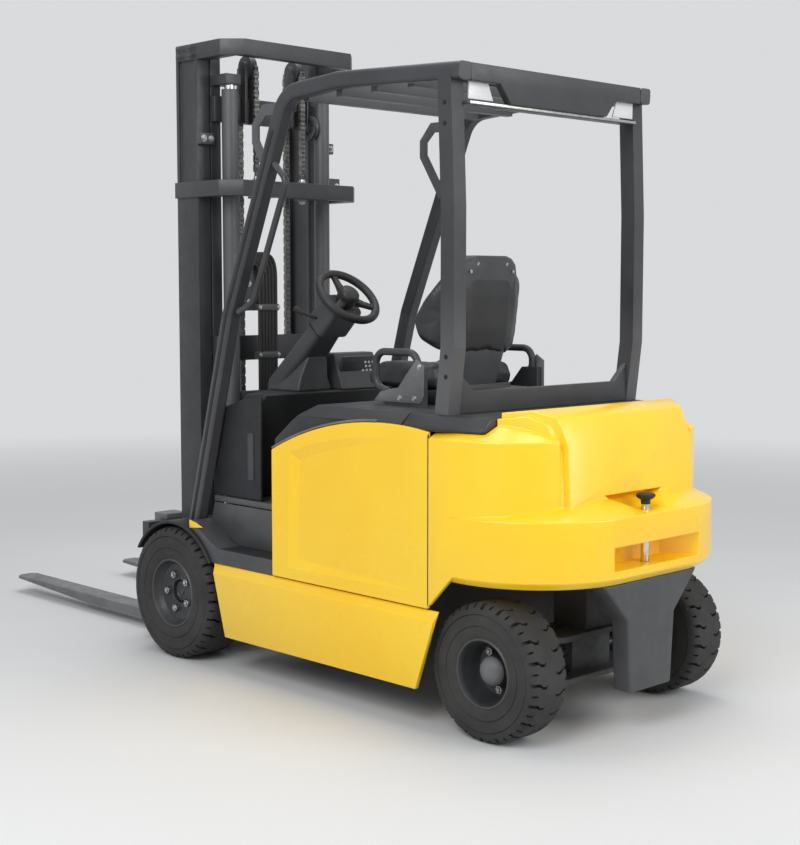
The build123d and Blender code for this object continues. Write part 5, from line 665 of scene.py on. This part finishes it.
def leaf_pair(pitch, half_height, thick):
    """Two pitches of a leaf chain along Z at the origin, pins along Y."""
    end = pitch / 2 + half_height
    nip = half_height * 0.55
    outline = [(-half_height, nip - end), (nip - half_height, -end), (half_height - nip, -end),
               (half_height, nip - end)]
    outline += [(-x, -z) for x, z in outline]
    leaf = plate([(x, -thick / 2, z) for x, z in outline], (0, thick, 0))
    step = thick * 1.25
    laced = [moved((0, step * i, 0)) for i in (-3, -1, 1, 3)]
    laced += [moved((0, step * i, pitch)) for i in (-2, 0, 2)]
    parts = copies(leaf, laced)
    for z in (-pitch / 2, pitch / 2):
        deselect()
        bpy.ops.mesh.primitive_cylinder_add(vertices=8, radius=half_height * 0.45, depth=step * 7.6,
                                            location=(0, 0, z), rotation=(math.pi / 2, 0, 0))
        bpy.ops.object.transform_apply(location=True, rotation=True, scale=True)
        parts.append(soften(bpy.context.object, 0.6, 1))
    return joined(parts)


def chain_runs(node, name):
    """Both runs of a chain, hung where the CAD strips are."""
    low, high = (Vector(corner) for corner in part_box(node))
    half_height = (high.x - low.x) / 2 * 0.94
    run = high.z - low.z - 2 * half_height
    count = round(run / TWO_PITCHES)
    rise = run / count
    pair = leaf_pair(rise / 2, half_height, LEAF_THICKNESS)
    places = [((low.x + high.x) / 2, y, low.z + half_height + rise * (i + 0.25))
              for y in (low.y + CHAIN_INSET, high.y - CHAIN_INSET) for i in range(count)]
    chain = joined(copies(pair, [moved(place) for place in places]))
    settle(chain, name, CHAIN_STEEL, BODY_OF[node])
    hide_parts(node)
    print(name, "pairs", 2 * count, "faces", len(chain.data.polygons))


chain_runs("front_chains", "front_leaf_chains")
chain_runs("rear_chains", "rear_leaf_chains")

# %% [markdown]
# ## Bolts and hoses on the mast
# Stops and brackets are held by zinc bolts. A hexagon head on a washer is turned to face any way, so one
# helper serves the whole truck. The hose pack rises at a plate, arches over and runs down the mast.

# %% Bolt and tube helpers
FACING = {"+x": turned("Z", -90), "-x": turned("Z", 90), "+y": Matrix.Identity(4), "-y": turned("Z", 180),
          "+z": turned("X", 90), "-z": turned("X", -90)}


def bolts(name, body, places, facing, size=0.011, height=0.009, coat=None):
    """Hexagon heads that look one way, at several places on one body."""
    head = wheel_nut(size, height)
    disc = lathe([(0, 0, 0), (size * 1.35, 0, 0), (size * 1.35, height * 0.22, 0), (0, height * 0.22, 0)],
                 (0, 0, 0), (0, 1, 0), 20)
    shape = joined([head, disc])
    heads = joined(copies(shape, [moved(place) @ FACING[facing] for place in places]))
    return settle(heads, name, coat or ZINC, body)


def tube(points, radius, sides=3):
    """A round hose or bar along a smooth spline through the neighbourhood of its points."""
    deselect()
    bpy.ops.curve.primitive_nurbs_path_add(radius=1, location=(0, 0, 0))
    line = bpy.context.object
    line.data.splines.clear()
    spline = line.data.splines.new("NURBS")
    spline.points.add(len(points) - 1)
    for knot, place in zip(spline.points, points):
        knot.co = (*place, 1)
    spline.order_u = 3
    spline.use_endpoint_u = True
    spline.resolution_u = 6
    line.data.bevel_depth = radius
    line.data.bevel_resolution = sides
    line.data.use_fill_caps = True
    bpy.ops.object.convert(target="MESH")
    return bpy.context.object


def block(low, high, mm=2.0):
    """A box between two corners with its edges rounded, a start for brackets and clamps."""
    middle = [(a + b) / 2 for a, b in zip(low, high)]
    deselect()
    bpy.ops.mesh.primitive_cube_add(size=1, location=middle)
    shape = bpy.context.object
    shape.scale = [b - a for a, b in zip(low, high)]
    bpy.ops.object.transform_apply(location=True, rotation=True, scale=True)
    return soften(shape, mm, 2)


def rod(radius, half, sides):
    """A solid rod along Y, centred at the origin."""
    section = [(0, -half, 0), (radius, -half, 0), (radius, half, 0), (0, half, 0)]
    return lathe(section, (0, 0, 0), (0, 1, 0), sides)


def side_bolts(name, body, places, y, size, height, coat=None):
    """The same bolts on the left and on the right side."""
    bolts(f"{name}_left", body, [(x, y, z) for x, z in places], "+y", size, height, coat)
    bolts(f"{name}_right", body, [(x, -y, z) for x, z in places], "-y", size, height, coat)


print("bolt, tube and block helpers ready")

# %% Hose pack and its plate
HOSE_X, HOSE_RISE_Y, HOSE_FOOT_Z, HOSE_RADIUS = 0.142, 0.196, 0.99, 0.0078
CLAMP_LEVELS = (1.0, 1.16, 1.352)
bracket = joined([block((0.158, 0.112, 1.352), (0.166, 0.206, 1.548)),
                  block((0.150, 0.188, 1.36), (0.176, 0.214, 1.54), 4)])
settle(bracket, "hose_plate", MAST_COAT, "mast")
bolts("hose_plate_bolts", "mast", [(0.158, 0.172, z) for z in (1.46, 1.385, 1.52)], "-x", 0.009)
hoses = []
for i in range(6):
    y = 0.128 - 0.0165 * i
    reach = 0.042 + 0.007 * i
    top = 1.512 + 0.0085 * i
    route = [(HOSE_RISE_Y, 1.44), (HOSE_RISE_Y, 1.49), (0.19, top + 0.012), (HOSE_RISE_Y - reach, top + 0.03),
             (y, top + 0.008), (y, 1.4), (y, 1.2), (y, HOSE_FOOT_Z)]
    hoses.append(tube([(HOSE_X, *place) for place in route], HOSE_RADIUS))
settle(joined(hoses), "mast_hose_pack", GRIP_RUBBER, "mast", 60)
clamps = [block((0.131, 0.034, z), (0.166, 0.14, z + 0.026), 3) for z in CLAMP_LEVELS]
settle(joined(clamps), "hose_clamps", MAST_COAT, "mast")
foot_bracket = block((0.156, 0.034, 0.985), (0.168, 0.212, 1.03), 3)
settle(foot_bracket, "hose_foot_bracket", MAST_COAT, "mast")
clamp_bolts = [(0.131, y, z + 0.013) for z in CLAMP_LEVELS for y in (0.04, 0.134)]
bolts("hose_clamp_bolts", "mast", clamp_bolts, "-x", 0.006, 0.006)
print("hoses:", len(hoses))

# %% Hose sheave with its holes
SHEAVE, PULLEY_AXLE = (0.2, -0.185, 2.104), (0.217, -0.153, 2.2735)
FLANK = [(0, 0.009), (0.014, 0.009), (0.016, 0.006), (0.036, 0.006), (0.04, 0.01), (0.052, 0.01),
         (0.05, 0.004)]
section = [(r, -y) for r, y in FLANK] + [(0.044, 0)] + list(reversed(FLANK))
sheave = lathe([(r, y, 0) for r, y in section], (0, 0, 0), (0, 1, 0), 64)
holes = copies(rod(0.0062, 0.03, 18), [turned("Y", 45 * i) @ moved((0.026, 0, 0)) for i in range(8)])
cut(sheave, joined(holes))
settle(copies(sheave, [moved(SHEAVE)])[0], "hose_sheave", MAST_COAT, "inner_mast")
stubs = copies(rod(0.011, 0.015, 24), [moved((SHEAVE[0], -0.179, SHEAVE[2])), moved(PULLEY_AXLE)])
arm = joined([block((0.184, -0.172, 2.086), (0.234, -0.166, 2.292), 3)] + stubs)
settle(arm, "sheave_arm", MAST_COAT, "inner_mast")
bolts("sheave_bolt", "inner_mast", [(SHEAVE[0], -0.166, SHEAVE[2])], "+y", 0.009)
print("hose sheave made")

# %% Stops, tie bolts and chain anchors
RAIL_Y, CHAIN_X, CHAIN_SIDES = 0.315, 0.1655, (-0.12, 0.12)
ANCHOR = ((0, 1.79), (0.008, 1.79), (0.008, 1.905), (0, 1.905))
stops = [block((0.228, side * RAIL_Y - 0.034, 2.008), (0.255, side * RAIL_Y + 0.034, 2.052), 3)
         for side in (1, -1)]
settle(joined(stops), "mast_stops", MAST_COAT, "mast")
stop_bolts = [(0.228, side * RAIL_Y + dy, 2.03) for side in (1, -1) for dy in (-0.018, 0.018)]
bolts("mast_stop_bolts", "mast", stop_bolts, "-x", 0.01)
tie_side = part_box("outer_mast")[1][1]
tie_bolts = [(x, tie_side, z) for x in (0.285, 0.36) for z in (2.352, 2.384)]
bolts("tie_bolts", "mast", tie_bolts, "+y", 0.009, 0.006, MAST_COAT)
anchors = [lathe([(r, y, z) for r, z in ANCHOR], (0, y, 0), (0, 0, 1), 16) for y in CHAIN_SIDES]
shaft = joined(copies(joined(anchors), [moved((CHAIN_X, 0, 0))]))
settle(shaft, "chain_anchor_rods", ZINC, "mast")
anchor_nuts = [(CHAIN_X, y, z) for y in CHAIN_SIDES for z in (1.862, 1.875)]
bolts("chain_anchor_nuts", "mast", anchor_nuts, "+z", 0.013, 0.012)
bolts("chain_anchor_locks", "mast", [(CHAIN_X, y, 1.8) for y in CHAIN_SIDES], "-z", 0.013, 0.012)
print("stops, tie bolts and chain anchors made")

# %% [markdown]
# ## Yellow side panels and skirts
# Each side panel is one pressing with an arched top. A wide dished field is pressed into it, deepest along
# its front edge and running out towards the rear. The panel is a plate, and the dish is cut by a loft whose
# inner loop leans out of the sheet. The skirt below has its top edge folded in, which is one slanting cut.

# %% Panels
def arc(first, middle, last, count):
    """Points on the circle through three points, from the first to the last."""
    (ax, ay), (bx, by), (cx, cy) = first, middle, last
    twice = 2 * (ax * (by - cy) + bx * (cy - ay) + cx * (ay - by))
    a2, b2, c2 = ax * ax + ay * ay, bx * bx + by * by, cx * cx + cy * cy
    ux = (a2 * (by - cy) + b2 * (cy - ay) + c2 * (ay - by)) / twice
    uy = (a2 * (cx - bx) + b2 * (ax - cx) + c2 * (bx - ax)) / twice
    start, stop = math.atan2(ay - uy, ax - ux), math.atan2(cy - uy, cx - ux)
    radius = math.hypot(ax - ux, ay - uy)
    angles = [start + (stop - start) * i / (count - 1) for i in range(count)]
    return [(ux + radius * math.cos(angle), uy + radius * math.sin(angle)) for angle in angles]


PANEL_FRONT, PANEL_REAR, PANEL_FOOT, PANEL_FACE = -449, -1235, 411, 557
PANEL_TOP = arc((PANEL_FRONT, 868), (-685, 955), (PANEL_REAR, 984), 21)
DISH_EDGE = arc((-548, 866), (-818, 934), (-1172, 950), 9) + [(-1172, 458), (-534, 450)]
DISH_FLOOR = arc((-590, 842), (-818, 902), (-1165, 942), 9) + [(-1165, 466), (-578, 488)]
DISH_DEPTH, DISH_FRONT, DISH_REAR = 15, -578, -1168
FOLD_NORMAL_Y, FOLD_NORMAL_Z, FOLD_Z = 0.91, 0.41, 0.37


def dish_floor(x, z):
    """A point of the dish's floor, which leans out of the sheet towards the rear."""
    deep = DISH_DEPTH * (x - DISH_REAR) / (DISH_FRONT - DISH_REAR)
    return (x / 1000, (PANEL_FACE - deep) / 1000, z / 1000)


for hand, side, flip in (("left", 1, Matrix.Identity(4)), ("right", -1, mirrored)):
    outline = [(PANEL_FRONT, PANEL_FOOT)] + PANEL_TOP + [(PANEL_REAR, PANEL_FOOT)]
    panel = soften(plate(side_profile(540, outline), (0, 0.017, 0)), 4, 3)
    dish = loft([side_profile(PANEL_FACE + 0.4, DISH_EDGE), [dish_floor(x, z) for x, z in DISH_FLOOR]])
    cut(panel, dish)
    print(hand, "panel corners", len(panel.data.vertices))
    stand_in(copies(panel, [flip])[0], f"{hand}_side_panel", 9)
    skirt = bisected(twin_of(f"{hand}_skirt"), (0, side * PANEL_FACE / 1000, FOLD_Z),
                     (0, side * FOLD_NORMAL_Y, FOLD_NORMAL_Z))
    stand_in(soften(skirt, 2.5, 2, 15), f"{hand}_skirt")
# A light grey tube along the hood's lower edge is a painted highlight: it stands for the bright line of light
# on that edge.
lip = tube(side_profile(550.5, [(x, z + 6) for x, z in PANEL_TOP[:15]]), 0.0045)
settle(both_hands(lip), "hood_edge_painted_highlights", FORK_COAT, "hood", 60)
SEAL = [(-1238.5, 424), (-1235.5, 424), (-1235.5, 975), (-1238.5, 975)]
seal = plate(side_profile(552, SEAL), (0, 0.004, 0))
settle(both_hands(soften(seal, 0.5)), "panel_seam_seals", GRIP_RUBBER, "chassis")
print("panels, skirts and seals made")

# %% [markdown]
# ## Seat shell and hip plates
# The back of the seat is a moulded shell with a narrow waist, a rounded head and a parting line where the
# lower half is screwed on. Two grey plates carry the hip restraints at its foot.

# %% Seat shell
SHELL_FOOT_X, SHELL_FOOT_Z, SHELL_LEAN, SHELL_RISE = -950, 1085, 60, 463
LOWER_SHELL = ((1085, 104), (1130, 112), (1190, 128), (1242, 142))
UPPER_SHELL = ((1247, 144), (1330, 156), (1420, 166), (1490, 165), (1525, 153), (1546, 128), (1556, 92))


def shell_section(z, half):
    """One level of the back shell: a shallow channel, its sides turned forwards."""
    back = SHELL_FOOT_X - SHELL_LEAN * (z - SHELL_FOOT_Z) / SHELL_RISE
    side = [(0, 0), (0, 0.7), (16, 0.92), (44, 1.0), (58, 0.93), (34, 0.84), (22, 0.62), (22, 0)]
    right = [(back + x, half * y) for x, y in side]
    left = [(x, -y) for x, y in reversed(right[1:-1])]
    return [(x / 1000, y / 1000, z / 1000) for x, y in right + left]


shells = [loft([shell_section(z, half) for z, half in levels]) for levels in (LOWER_SHELL, UPPER_SHELL)]
foot = soften(bisected(twin_of("seat_shell"), (0, 0, 1.1), (0, 0, 1)), 4, 2)
stand_in(joined([soften(shell, 6, 3, 40) for shell in shells] + [foot]), "seat_shell", 32)
screws = [(-1.0065, y, z) for y, z in ((-0.11, 1.5), (0.11, 1.5), (-0.075, 1.528), (0.075, 1.528))]
bolts("seat_shell_screws", "hood", screws, "-x", 0.005, 0.003)

# %% Hip plates
HIP_PLATE = [(-943, 1198), (-979, 1176), (-979, 1075), (-963, 1046), (-731, 1046), (-765, 1080), (-856, 1098),
             (-894, 1144)]
HIP_BOLTS = ((-0.961, 1.173), (-0.865, 1.06), (-0.937, 1.062))
hip_plate = soften(plate(side_profile(313, HIP_PLATE), (0, 0.005, 0)), 1.5)
settle(both_hands(hip_plate), "hip_plates", FORK_COAT, "hood")
side_bolts("hip_plate_bolts", "hood", HIP_BOLTS, 0.318, 0.008, 0.006)
print("seat shell and hip plates made")

# %% [markdown]
# ## Hand wheel, column and display
# The small hand wheel has a fat grip, three dished spokes and a bulky hub that stands above the rim. It is
# made flat at the origin and then laid on the column's axis. A flared boot closes the column's foot, a
# direction stalk stands out of its head, and the display beside it has a dark screen and pale keys.

# %% Hand wheel
WHEEL_CENTRE, WHEEL_AXIS = Vector((-0.388, 0.13, 1.409)), Vector((-0.71325, 0, 0.70091))
HUB = ((0, -0.03), (0.034, -0.03), (0.04, -0.012), (0.041, 0.012), (0.036, 0.026), (0.024, 0.033), (0, 0.034))
SPOKE = ((0.028, 0.019, -0.02, 0.004), (0.07, 0.014, -0.014, 0.002), (0.118, 0.013, -0.008, 0.006))
lay = moved(WHEEL_CENTRE) @ Vector((0, 0, 1)).rotation_difference(WHEEL_AXIS).to_matrix().to_4x4()
deselect()
bpy.ops.mesh.primitive_torus_add(major_radius=0.1205, minor_radius=0.0155, major_segments=72,
                                 minor_segments=18)
rim = bpy.context.object
hub = lathe([(r, 0, z) for r, z in HUB], (0, 0, 0), (0, 0, 1), 48)
spoke = loft([[(x, -half, low), (x, half, low), (x, half * 0.8, high), (x, -half * 0.8, high)]
              for x, half, low, high in SPOKE])
spokes = copies(soften(spoke, 3, 3), [turned("Z", degrees) for degrees in (0, 120, 240)])
hand_wheel = copies(joined([rim, hub] + spokes), [lay])[0]
settle(hand_wheel, "hand_wheel", GRIP_RUBBER, "steering_wheel", 50)
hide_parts("steering_wheel")
print("hand wheel made")

# %% Boot, stalk and display
BOOT = ((-0.012, -0.2, 0.04, 0.22, 1.044), (-0.03, -0.195, 0.058, 0.202, 1.095),
        (-0.09, -0.215, 0.082, 0.178, 1.18))
FACE = moved((-0.2075, 0, 1.124)) @ turned("Y", -22.2)
KEY = ((0, 0), (0.0055, 0), (0.0055, 0.0025), (0.004, 0.0035), (0, 0.0035))
KEYS = [(-0.11, 0.03), (-0.13, 0.03), (-0.15, 0.03), (-0.12, 0.012), (-0.14, 0.012), (-0.11, -0.006),
        (-0.13, -0.006), (-0.15, -0.006)]
boot = loft([[(x1, y1, z), (x2, y1, z), (x2, y2, z), (x1, y2, z)] for x1, x2, y1, y2, z in BOOT])
settle(soften(boot, 10, 4, 20), "column_boot", COVER_PLASTIC, "chassis", 60)
stalk = joined([tube([(-0.3, 0.19, 1.325), (-0.285, 0.225, 1.335), (-0.262, 0.252, 1.352)], 0.006),
                tube([(-0.268, 0.246, 1.346), (-0.255, 0.26, 1.357), (-0.243, 0.274, 1.368)], 0.0105, 5)])
settle(stalk, "direction_stalk", GRIP_RUBBER, "chassis", 50)
bezel = copies(block((-0.006, -0.176, -0.058), (0.004, 0.014, 0.056), 4), [FACE])[0]
settle(bezel, "display_bezel", COVER_PLASTIC, "chassis")
screen = copies(block((-0.0075, -0.088, -0.03), (-0.002, 0.006, 0.036), 1), [FACE])[0]
settle(screen, "display_glass", HOOD_PLASTIC, "chassis")
key = lathe([(r, y, 0) for r, y in KEY], (0, 0, 0), (0, 1, 0), 16)
keys = joined(copies(key, [FACE @ moved((-0.006, y, z)) @ FACING["-x"] for y, z in KEYS]))
settle(keys, "display_keys", PALE_PLASTIC, "chassis")
print("boot, stalk and display made")

# %% [markdown]
# ## Step, cowl sides and guard fittings
# Getting in, the driver treads on a step behind the front wheel. A kick wall closes the floor's side above
# it, with a nosing along its top edge, and a wing of the cowl closes the gap to the guard's leg. A black
# strip along each of the guard's legs is painted shade for the leg's grooves; the guard's pillars are bolted.

# %% Step and cowl sides
KICK_WALL = [(-449, 464), (-115, 464), (-60, 484), (0, 522), (58, 550), (36, 618), (-449, 618)]
COWL_WING = [(-238, 1040), (-110, 1018), (16, 978), (36, 950), (40, 645), (-238, 645)]
CORNER = [(62, 524), (62, 556), (20, 548), (-22, 534)]
kick = soften(plate(side_profile(438, KICK_WALL), (0, 0.006, 0)), 1.5)
settle(both_hands(kick), "kick_walls", SILL_COAT, "chassis")
nosing = block((-0.449, 0.43, 0.622), (0.034, 0.449, 0.645), 5)
settle(both_hands(nosing), "floor_nosings", SILL_COAT, "chassis")
rib = block((-0.44, -0.003, 0.462), (-0.122, 0.003, 0.4655), 1)
ribs = [moved((0, side * (0.455 + 0.013 * i), 0)) for side in (1, -1) for i in range(7)]
settle(joined(copies(rib, ribs)), "step_mat_ribs", GRIP_RUBBER, "chassis")
wing = soften(plate(side_profile(424, COWL_WING), (0, 0.013, 0)), 5, 3)
settle(both_hands(wing), "cowl_wings", COWL_PLASTIC, "chassis")
strap = block((-0.2, 0.436, 0.72), (-0.165, 0.441, 0.9), 3)
settle(both_hands(strap), "cowl_wing_straps", COVER_PLASTIC, "chassis")
corner = soften(plate(side_profile(544.5, CORNER), (0, 0.003, 0)), 1)
settle(both_hands(corner), "fender_corners", SHEET_YELLOW, "chassis")
print("step and cowl sides made")

# %% Guard groove shade strips, bolts and header
LEG, GROOVE_SHADE_HALF = [(112, 546), (-110, 1341), (-392, 2002)], 8
PILLAR_BOLTS = ((-1.248, 2.026), (-1.248, 1.961), (-1.257, 1.223), (-1.257, 1.159))
LENS = [(0.31, 2.04), (0.425, 2.04), (0.425, 2.098), (0.335, 2.098)]
BRACKET_X, BRACKET = 0.2465, ((-0.288, 1.838), (-0.4, 1.838), (-0.4, 1.908), (-0.288, 1.908))
# Each guard leg carries a thin black strip: painted shade that stands for the shaded grooves along the leg.
edges = [(x - GROOVE_SHADE_HALF, z) for x, z in LEG] + [(x + GROOVE_SHADE_HALF, z) for x, z in reversed(LEG)]
channel = soften(plate(side_profile(494.5, edges), (0, 0.0025, 0)), 0.8)
settle(both_hands(channel), "guard_leg_painted_groove_shade", GRIP_RUBBER, "chassis")
side_bolts("pillar_bolts", "chassis", PILLAR_BOLTS, 0.495, 0.006, 0.003, GRIP_RUBBER)
lens = soften(plate([(-1.288, y, z) for y, z in LENS], (0.006, 0, 0)), 1.5)
settle(both_hands(lens), "header_end_lenses", PALE_PLASTIC, "chassis")
# A thin zinc strip along the lower edge of the header's rear bar is a painted highlight: its light colour
# stands for the bright line of light there.
strip = block((-1.2998, -0.43, 2.0235), (-1.2968, 0.43, 2.0325), 1)
settle(strip, "header_bar_painted_highlight", ZINC, "chassis")
bracket = soften(plate([(BRACKET_X, y, z) for y, z in BRACKET], (0.006, 0, 0)), 2)
settle(bracket, "mast_side_bracket", MAST_COAT, "mast")
bolts("mast_side_bolts", "mast", [(BRACKET_X, y, 1.874) for y in (-0.306, -0.382)], "-x", 0.011, 0.009)
print("guard fittings made")

# %% [markdown]
# ## Tow pin and hub caps
# The tow pin is a plated rod under a black mushroom knob, dropped through the bumper. The rear hubs end in
# pressed steel caps that catch the light.

# %% Tow pin and hub caps
PIN_PLACE = moved((-1.683, 0, 0))
PIN = ((0, 0.512), (0.011, 0.512), (0.014, 0.52), (0.014, 0.752), (0, 0.752))
KNOB = ((0, 0.744), (0.015, 0.744), (0.016, 0.758), (0.027, 0.764), (0.032, 0.77), (0.031, 0.776),
        (0.024, 0.78), (0, 0.78))
HUB_CAP = ((48, 26), (48.5, 30), (46.5, 34.5), (41.5, 43), (33.5, 50), (22.5, 55), (11, 58), (0, 59))
pin = lathe([(r, 0, z) for r, z in PIN], (0, 0, 0), (0, 0, 1), 40)
stand_in(copies(pin, [PIN_PLACE])[0], "tow_pin")
knob = lathe([(r, 0, z) for r, z in KNOB], (0, 0, 0), (0, 0, 1), 48)
settle(copies(knob, [PIN_PLACE])[0], "tow_pin_knob", GRIP_RUBBER, "chassis", 50)
cap = lathe([(r / 1000, y / 1000, 0) for r, y in HUB_CAP], (0, 0, 0), (0, 1, 0), 56)
for hand, shape in zip(("left", "right"), copies(cap, [moved(REAR_HUB), mirrored @ moved(REAR_HUB)])):
    settle(shape, f"rear_{hand}_hub_cap", FORK_COAT, f"rear_{hand}_wheel", 50)
print("tow pin and hub caps made")

# %% [markdown]
# ## Floor, light and background
# A pale studio floor takes the shadow. Three large soft lamps and a grey world light the truck at a plain
# level. The camera, reflections and glass see a pale background, which adds no diffuse light to the truck.

# %% Studio
BACKDROP, BACKDROP_GLOW = "E4E5E7", 0.9
deselect()
bpy.ops.mesh.primitive_plane_add(size=60, location=(0, 0, 0))
floor = bpy.context.object
floor.name = "studio_floor"
floor_coat, tree, shader, coords = finish("matt pale studio floor", Roughness=0.9)
tree.links.new(mix(tree, noise(tree, coords, 900, 2), linear("D4D5D6"), linear("DADBDC")),
               shader.inputs["Base Color"])
reach = put(tree, "ShaderNodeVectorMath", {0: coords}, operation="LENGTH").outputs["Value"]
far = spread(tree, reach, 0.0, 1.0, 3.0, 9.0)
glow = put(tree, "ShaderNodeEmission", {"Color": linear(BACKDROP), "Strength": BACKDROP_GLOW})
sweep = put(tree, "ShaderNodeMixShader", {0: far, 1: shader.outputs[0], 2: glow.outputs[0]})
tree.links.new(sweep.outputs[0], tree.nodes["Material Output"].inputs["Surface"])
floor.data.materials.append(floor_coat)

world = bpy.data.worlds.new("studio")
bpy.context.scene.world = world
world.use_nodes = True
tree = world.node_tree
seen = put(tree, "ShaderNodeLightPath").outputs
either = put(tree, "ShaderNodeMath", {0: seen["Is Camera Ray"], 1: seen["Is Glossy Ray"]},
             operation="MAXIMUM")
either = put(tree, "ShaderNodeMath", {0: either.outputs[0], 1: seen["Is Transmission Ray"]},
             operation="MAXIMUM")
ambient = tree.nodes["Background"]
ambient.inputs["Color"].default_value = linear("E6E8EB")
ambient.inputs["Strength"].default_value = 0.45
backdrop = put(tree, "ShaderNodeBackground", {"Color": linear(BACKDROP), "Strength": BACKDROP_GLOW})
blend = put(tree, "ShaderNodeMixShader", {0: either.outputs[0], 1: ambient.outputs[0],
                                           2: backdrop.outputs[0]})
tree.links.new(blend.outputs[0], tree.nodes["World Output"].inputs["Surface"])


def soft_lamp(name, place, aim, size, watts):
    """A square softbox that looks at a point of the truck."""
    turn = (Vector(aim) - Vector(place)).to_track_quat("-Z", "Y").to_euler()
    bpy.ops.object.light_add(type="AREA", location=place, rotation=turn)
    lamp = bpy.context.object
    lamp.name = name
    lamp.data.size = size
    lamp.data.energy = watts


soft_lamp("key_softbox", (-2.6, 5.2, 4.6), (-0.4, 0.2, 0.9), 3.5, 235)
soft_lamp("rear_softbox", (-6.2, -1.6, 3.4), (-1.2, 0.0, 0.9), 3.5, 155)
soft_lamp("top_softbox", (0.2, -0.6, 6.2), (-0.3, 0.0, 1.0), 4.0, 155)
view = bpy.context.scene.view_settings
view.view_transform = "Standard"
